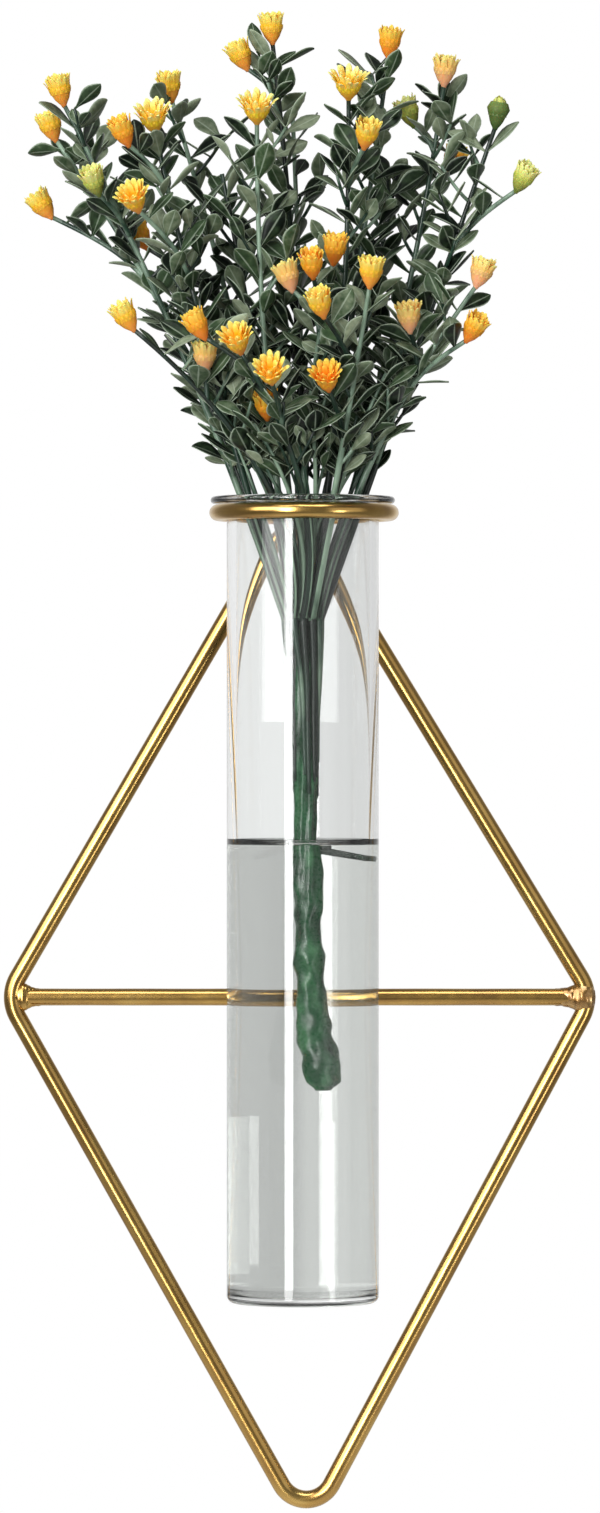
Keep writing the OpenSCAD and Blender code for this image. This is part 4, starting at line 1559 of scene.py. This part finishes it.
        for side, z, length, climb in self.edge_leaves:
            if self.edge_stem(side, z) == i:
                astray = dice.uniform(-self.edge_chance, self.edge_chance)
                turn = math.radians((0 if side > 0 else 180) + astray)
                self.leaf(skin, self.stem_at(i, z), turn, math.radians(climb), length, dice)
        self.strand(skin, i, dice)
        if i < self.outer:
            for swing, spread, size in self.companions:
                self.companion(skin, i, swing, spread, size, dice)
        node = f"sprig_{i + 1:02d}"
        skin.piece(f"{node}_stem_and_leaves", self.body, finishes, "leaf_plastic", [node])

    def build_heads(self, i: int, finishes: dict[HeadKind, bpy.types.Material]) -> None:
        """Build the flower heads of a sprig.

        Args:
            i: Which sprig, from 0.
            finishes: Petal material of each kind.
        """
        seats = self.seats(i)
        if not seats:
            return
        dice, parts, used = random.Random(500 + i), Skin(), []
        for tip, way, kind, opened in seats:
            if kind not in used:
                used.append(kind)
            first = len(parts.faces)
            turned = way.to_track_quat("Z", "Y").to_matrix().to_4x4()
            seat = Matrix.Translation(self.world(tip + way * self.flower_seat)) @ turned
            self.head.add(parts, seat, kind, opened, dice)
            parts.slots[first:] = [used.index(kind)] * (len(parts.faces) - first)
        node = f"flowers_{i + 1:02d}"
        parts.piece(f"{node}_heads", self.body, [finishes[k] for k in used], "flower_plastic", [node])

    def build(self) -> None:
        """Build and dress the trunk and all sprigs."""
        # the pale colours of bark and stem are painted highlights along their streaks
        bark = MouldedGreen("trunk_green", dark=(0.002, 0.014, 0.005), middle=(0.011, 0.085, 0.030),
                            pale=(0.10, 0.30, 0.13), streak_and_highlight_stretch=(1, 1, 0.5), roughness=0.3, relief=0.25 * MM)
        stem = MouldedGreen("stem_green", dark=(0.006, 0.014, 0.009), middle=(0.018, 0.052, 0.031),
                            pale=(0.24, 0.35, 0.25), streak_and_highlight_stretch=(1, 1, 0.2))
        greens = [stem.make(), LeafPlastic().make()]
        petals = {kind: kind.finish.make() for kind in HeadKind}
        Trunk().build(self.mouth, bark.make())
        for i in range(len(self.tips)):
            self.build_green(i, greens)
            self.build_heads(i, petals)


# Studio


@dataclass
class Studio:
    """Plain pale floor, soft lamps, white background and the camera.

    Each lamp is a name, a place, its width and height, and its power in watts.
    """

    view_x: float = 1.3 * MM
    view_z: float = -43.1 * MM
    distance: float = 1.5
    view_height: float = 0.3026
    floor_drop: float = 62 * MM
    floor_r: float = 0.36
    floor_fade: tuple[float, float] = (0.15, 0.9)
    floor_tones: tuple[float, float] = (0.93, 0.95)
    floor_grain: float = 60
    floor_sides: int = 96
    lamps: tuple[tuple[str, Colour, tuple[float, float], float], ...] = (
        ("window_lamp", (-0.84, -1.01, 0.44), (1.3, 1.0), 14),
        ("left_strip_lamp", (-0.47, -1.21, 0), (0.28, 0.9), 8.5),
        ("right_strip_lamp", (0.92, -0.92, -0.42), (0.2, 0.5), 2),
        ("right_fill_lamp", (1.15, -0.85, 0.15), (1.2, 1.2), 2.2),
        ("top_lamp", (0, -0.6, 1.2), (1.0, 0.5), 7),
    )
    room_light: float = 0.16
    right_backdrop: float = 0.80
    dim_band: tuple[float, float] = (-0.03, 0.06)
    mirror_stops: tuple[tuple[float, float], ...] = ((0.34, 0.13), (0.84, 0.26), (0.97, 0.8))
    clear_stops: tuple[tuple[float, float], ...] = ((0.34, 0.76), (0.72, 1.0))

    def build_camera(self) -> None:
        """Set the camera level in front of the object."""
        data = bpy.data.cameras.new("camera")
        data.lens = data.sensor_width * self.distance / self.view_height
        eye = bpy.data.objects.new("camera", data)
        eye.location = (self.view_x, -self.distance, self.view_z)
        eye.rotation_euler = (math.radians(90), 0, 0)
        bpy.context.scene.collection.objects.link(eye)
        bpy.context.scene.camera = eye

    def build_lamp(self, name: str, place: Colour, size: tuple[float, float], watts: float) -> None:
        """Set one soft lamp that faces the object.

        Args:
            name: Its name.
            place: Where it stands.
            size: Its width and height.
            watts: Its power.
        """
        data = bpy.data.lights.new(name, "AREA")
        data.shape, data.size, data.size_y, data.energy = "RECTANGLE", size[0], size[1], watts
        lamp = bpy.data.objects.new(name, data)
        lamp.location = place
        beam = Vector((0, 0, self.view_z)) - Vector(place)
        lamp.rotation_euler = beam.to_track_quat("-Z", "Y").to_euler()
        bpy.context.scene.collection.objects.link(lamp)

    def build_floor(self) -> None:
        """Lay a round pale floor under the object, which fades out at its edge."""
        bench = Bench("pale_floor")
        grain = bench.noise(bench.place(), self.floor_grain)
        dark, pale = (grey(tone) for tone in self.floor_tones)
        colour = bench.ramp(grain, [(0.3, dark), (0.7, pale)])
        plain = bench.add("BsdfDiffuse", {"Color": colour})
        away = bench.add("VectorMath", {0: bench.place()}, operation="LENGTH").outputs["Value"]
        near, far = (share * self.floor_r for share in self.floor_fade)
        fade = bench.add("MapRange", {0: away, 1: near, 2: far, 3: 0.0, 4: 1.0})
        clear = bench.add("BsdfTransparent")
        both = bench.add("MixShader", {0: fade.outputs[0], 1: plain.outputs[0], 2: clear.outputs[0]})
        finish = bench.surface(both.outputs[0])
        count = self.floor_sides
        rings = [[r * heading(t, 0) for t in turns(count)]
                 for r in (MM, 0.25 * self.floor_r, 0.5 * self.floor_r, self.floor_r)]
        mesh = bpy.data.meshes.new("floor")
        faces = [tuple(range(count))]
        for inner in range(0, (len(rings) - 1) * count, count):
            outer = inner + count
            for k in range(count):
                n = (k + 1) % count
                faces.append((inner + k, inner + n, outer + n, outer + k))
        mesh.from_pydata([tuple(p) for ring in rings for p in ring], [], faces)
        mesh.materials.append(finish)
        floor = bpy.data.objects.new("floor", mesh)
        floor.location = (0, 0, CAD_BOX[0][2] - self.floor_drop)
        bpy.context.scene.collection.objects.link(floor)

    def build_world(self) -> None:
        """Fill the room with even light, with other tones where metal, glass or the camera looks."""
        world = bpy.data.worlds.new("white_room")
        bpy.context.scene.world = world
        bench = Bench("white_room", world)
        paths = bench.add("LightPath").outputs
        split = bench.add("SeparateXYZ", {0: bench.add("TexCoord").outputs["Generated"]}).outputs
        depth = bench.add("MapRange", {0: split[1], 1: -1.0, 2: 1.0}).outputs[0]
        mirrored, clear = (bench.ramp(depth, [(at, grey(tone)) for at, tone in stops])
                           for stops in (self.mirror_stops, self.clear_stops))
        start, end = self.dim_band
        dim = bench.add("MapRange", {0: split[0], 1: start, 2: end, 3: 1.0, 4: self.right_backdrop})
        through = bench.mix(1.0, clear, dim.outputs[0], "MULTIPLY")
        last = bench.add("Background", {0: (*grey(self.room_light), 1)}).outputs[0]
        for ray, seen in (("Is Glossy Ray", mirrored), ("Is Transmission Ray", through),
                          ("Is Camera Ray", (*grey(1), 1))):
            shown = bench.add("Background", {0: seen}).outputs[0]
            last = bench.add("MixShader", {0: paths[ray], 1: last, 2: shown}).outputs[0]
        bench.surface(last)

    def build(self) -> None:
        """Set up camera, lamps, floor and world."""
        self.build_camera()
        for lamp in self.lamps:
            self.build_lamp(*lamp)
        self.build_floor()
        self.build_world()
        bpy.context.scene.view_settings.view_transform = "Standard"
        LOG.info("studio: camera, %d lamps, floor and white room", len(self.lamps))


def main() -> None:
    """Build the frame, the tube, the bunch and the studio in order."""
    logging.basicConfig(level=logging.INFO, format="%(message)s")
    WireFrame().build()
    GlassTube().build()
    Bunch().build()
    Studio().build()
    bpy.context.view_layer.update()


if __name__ == "__main__":
    main()
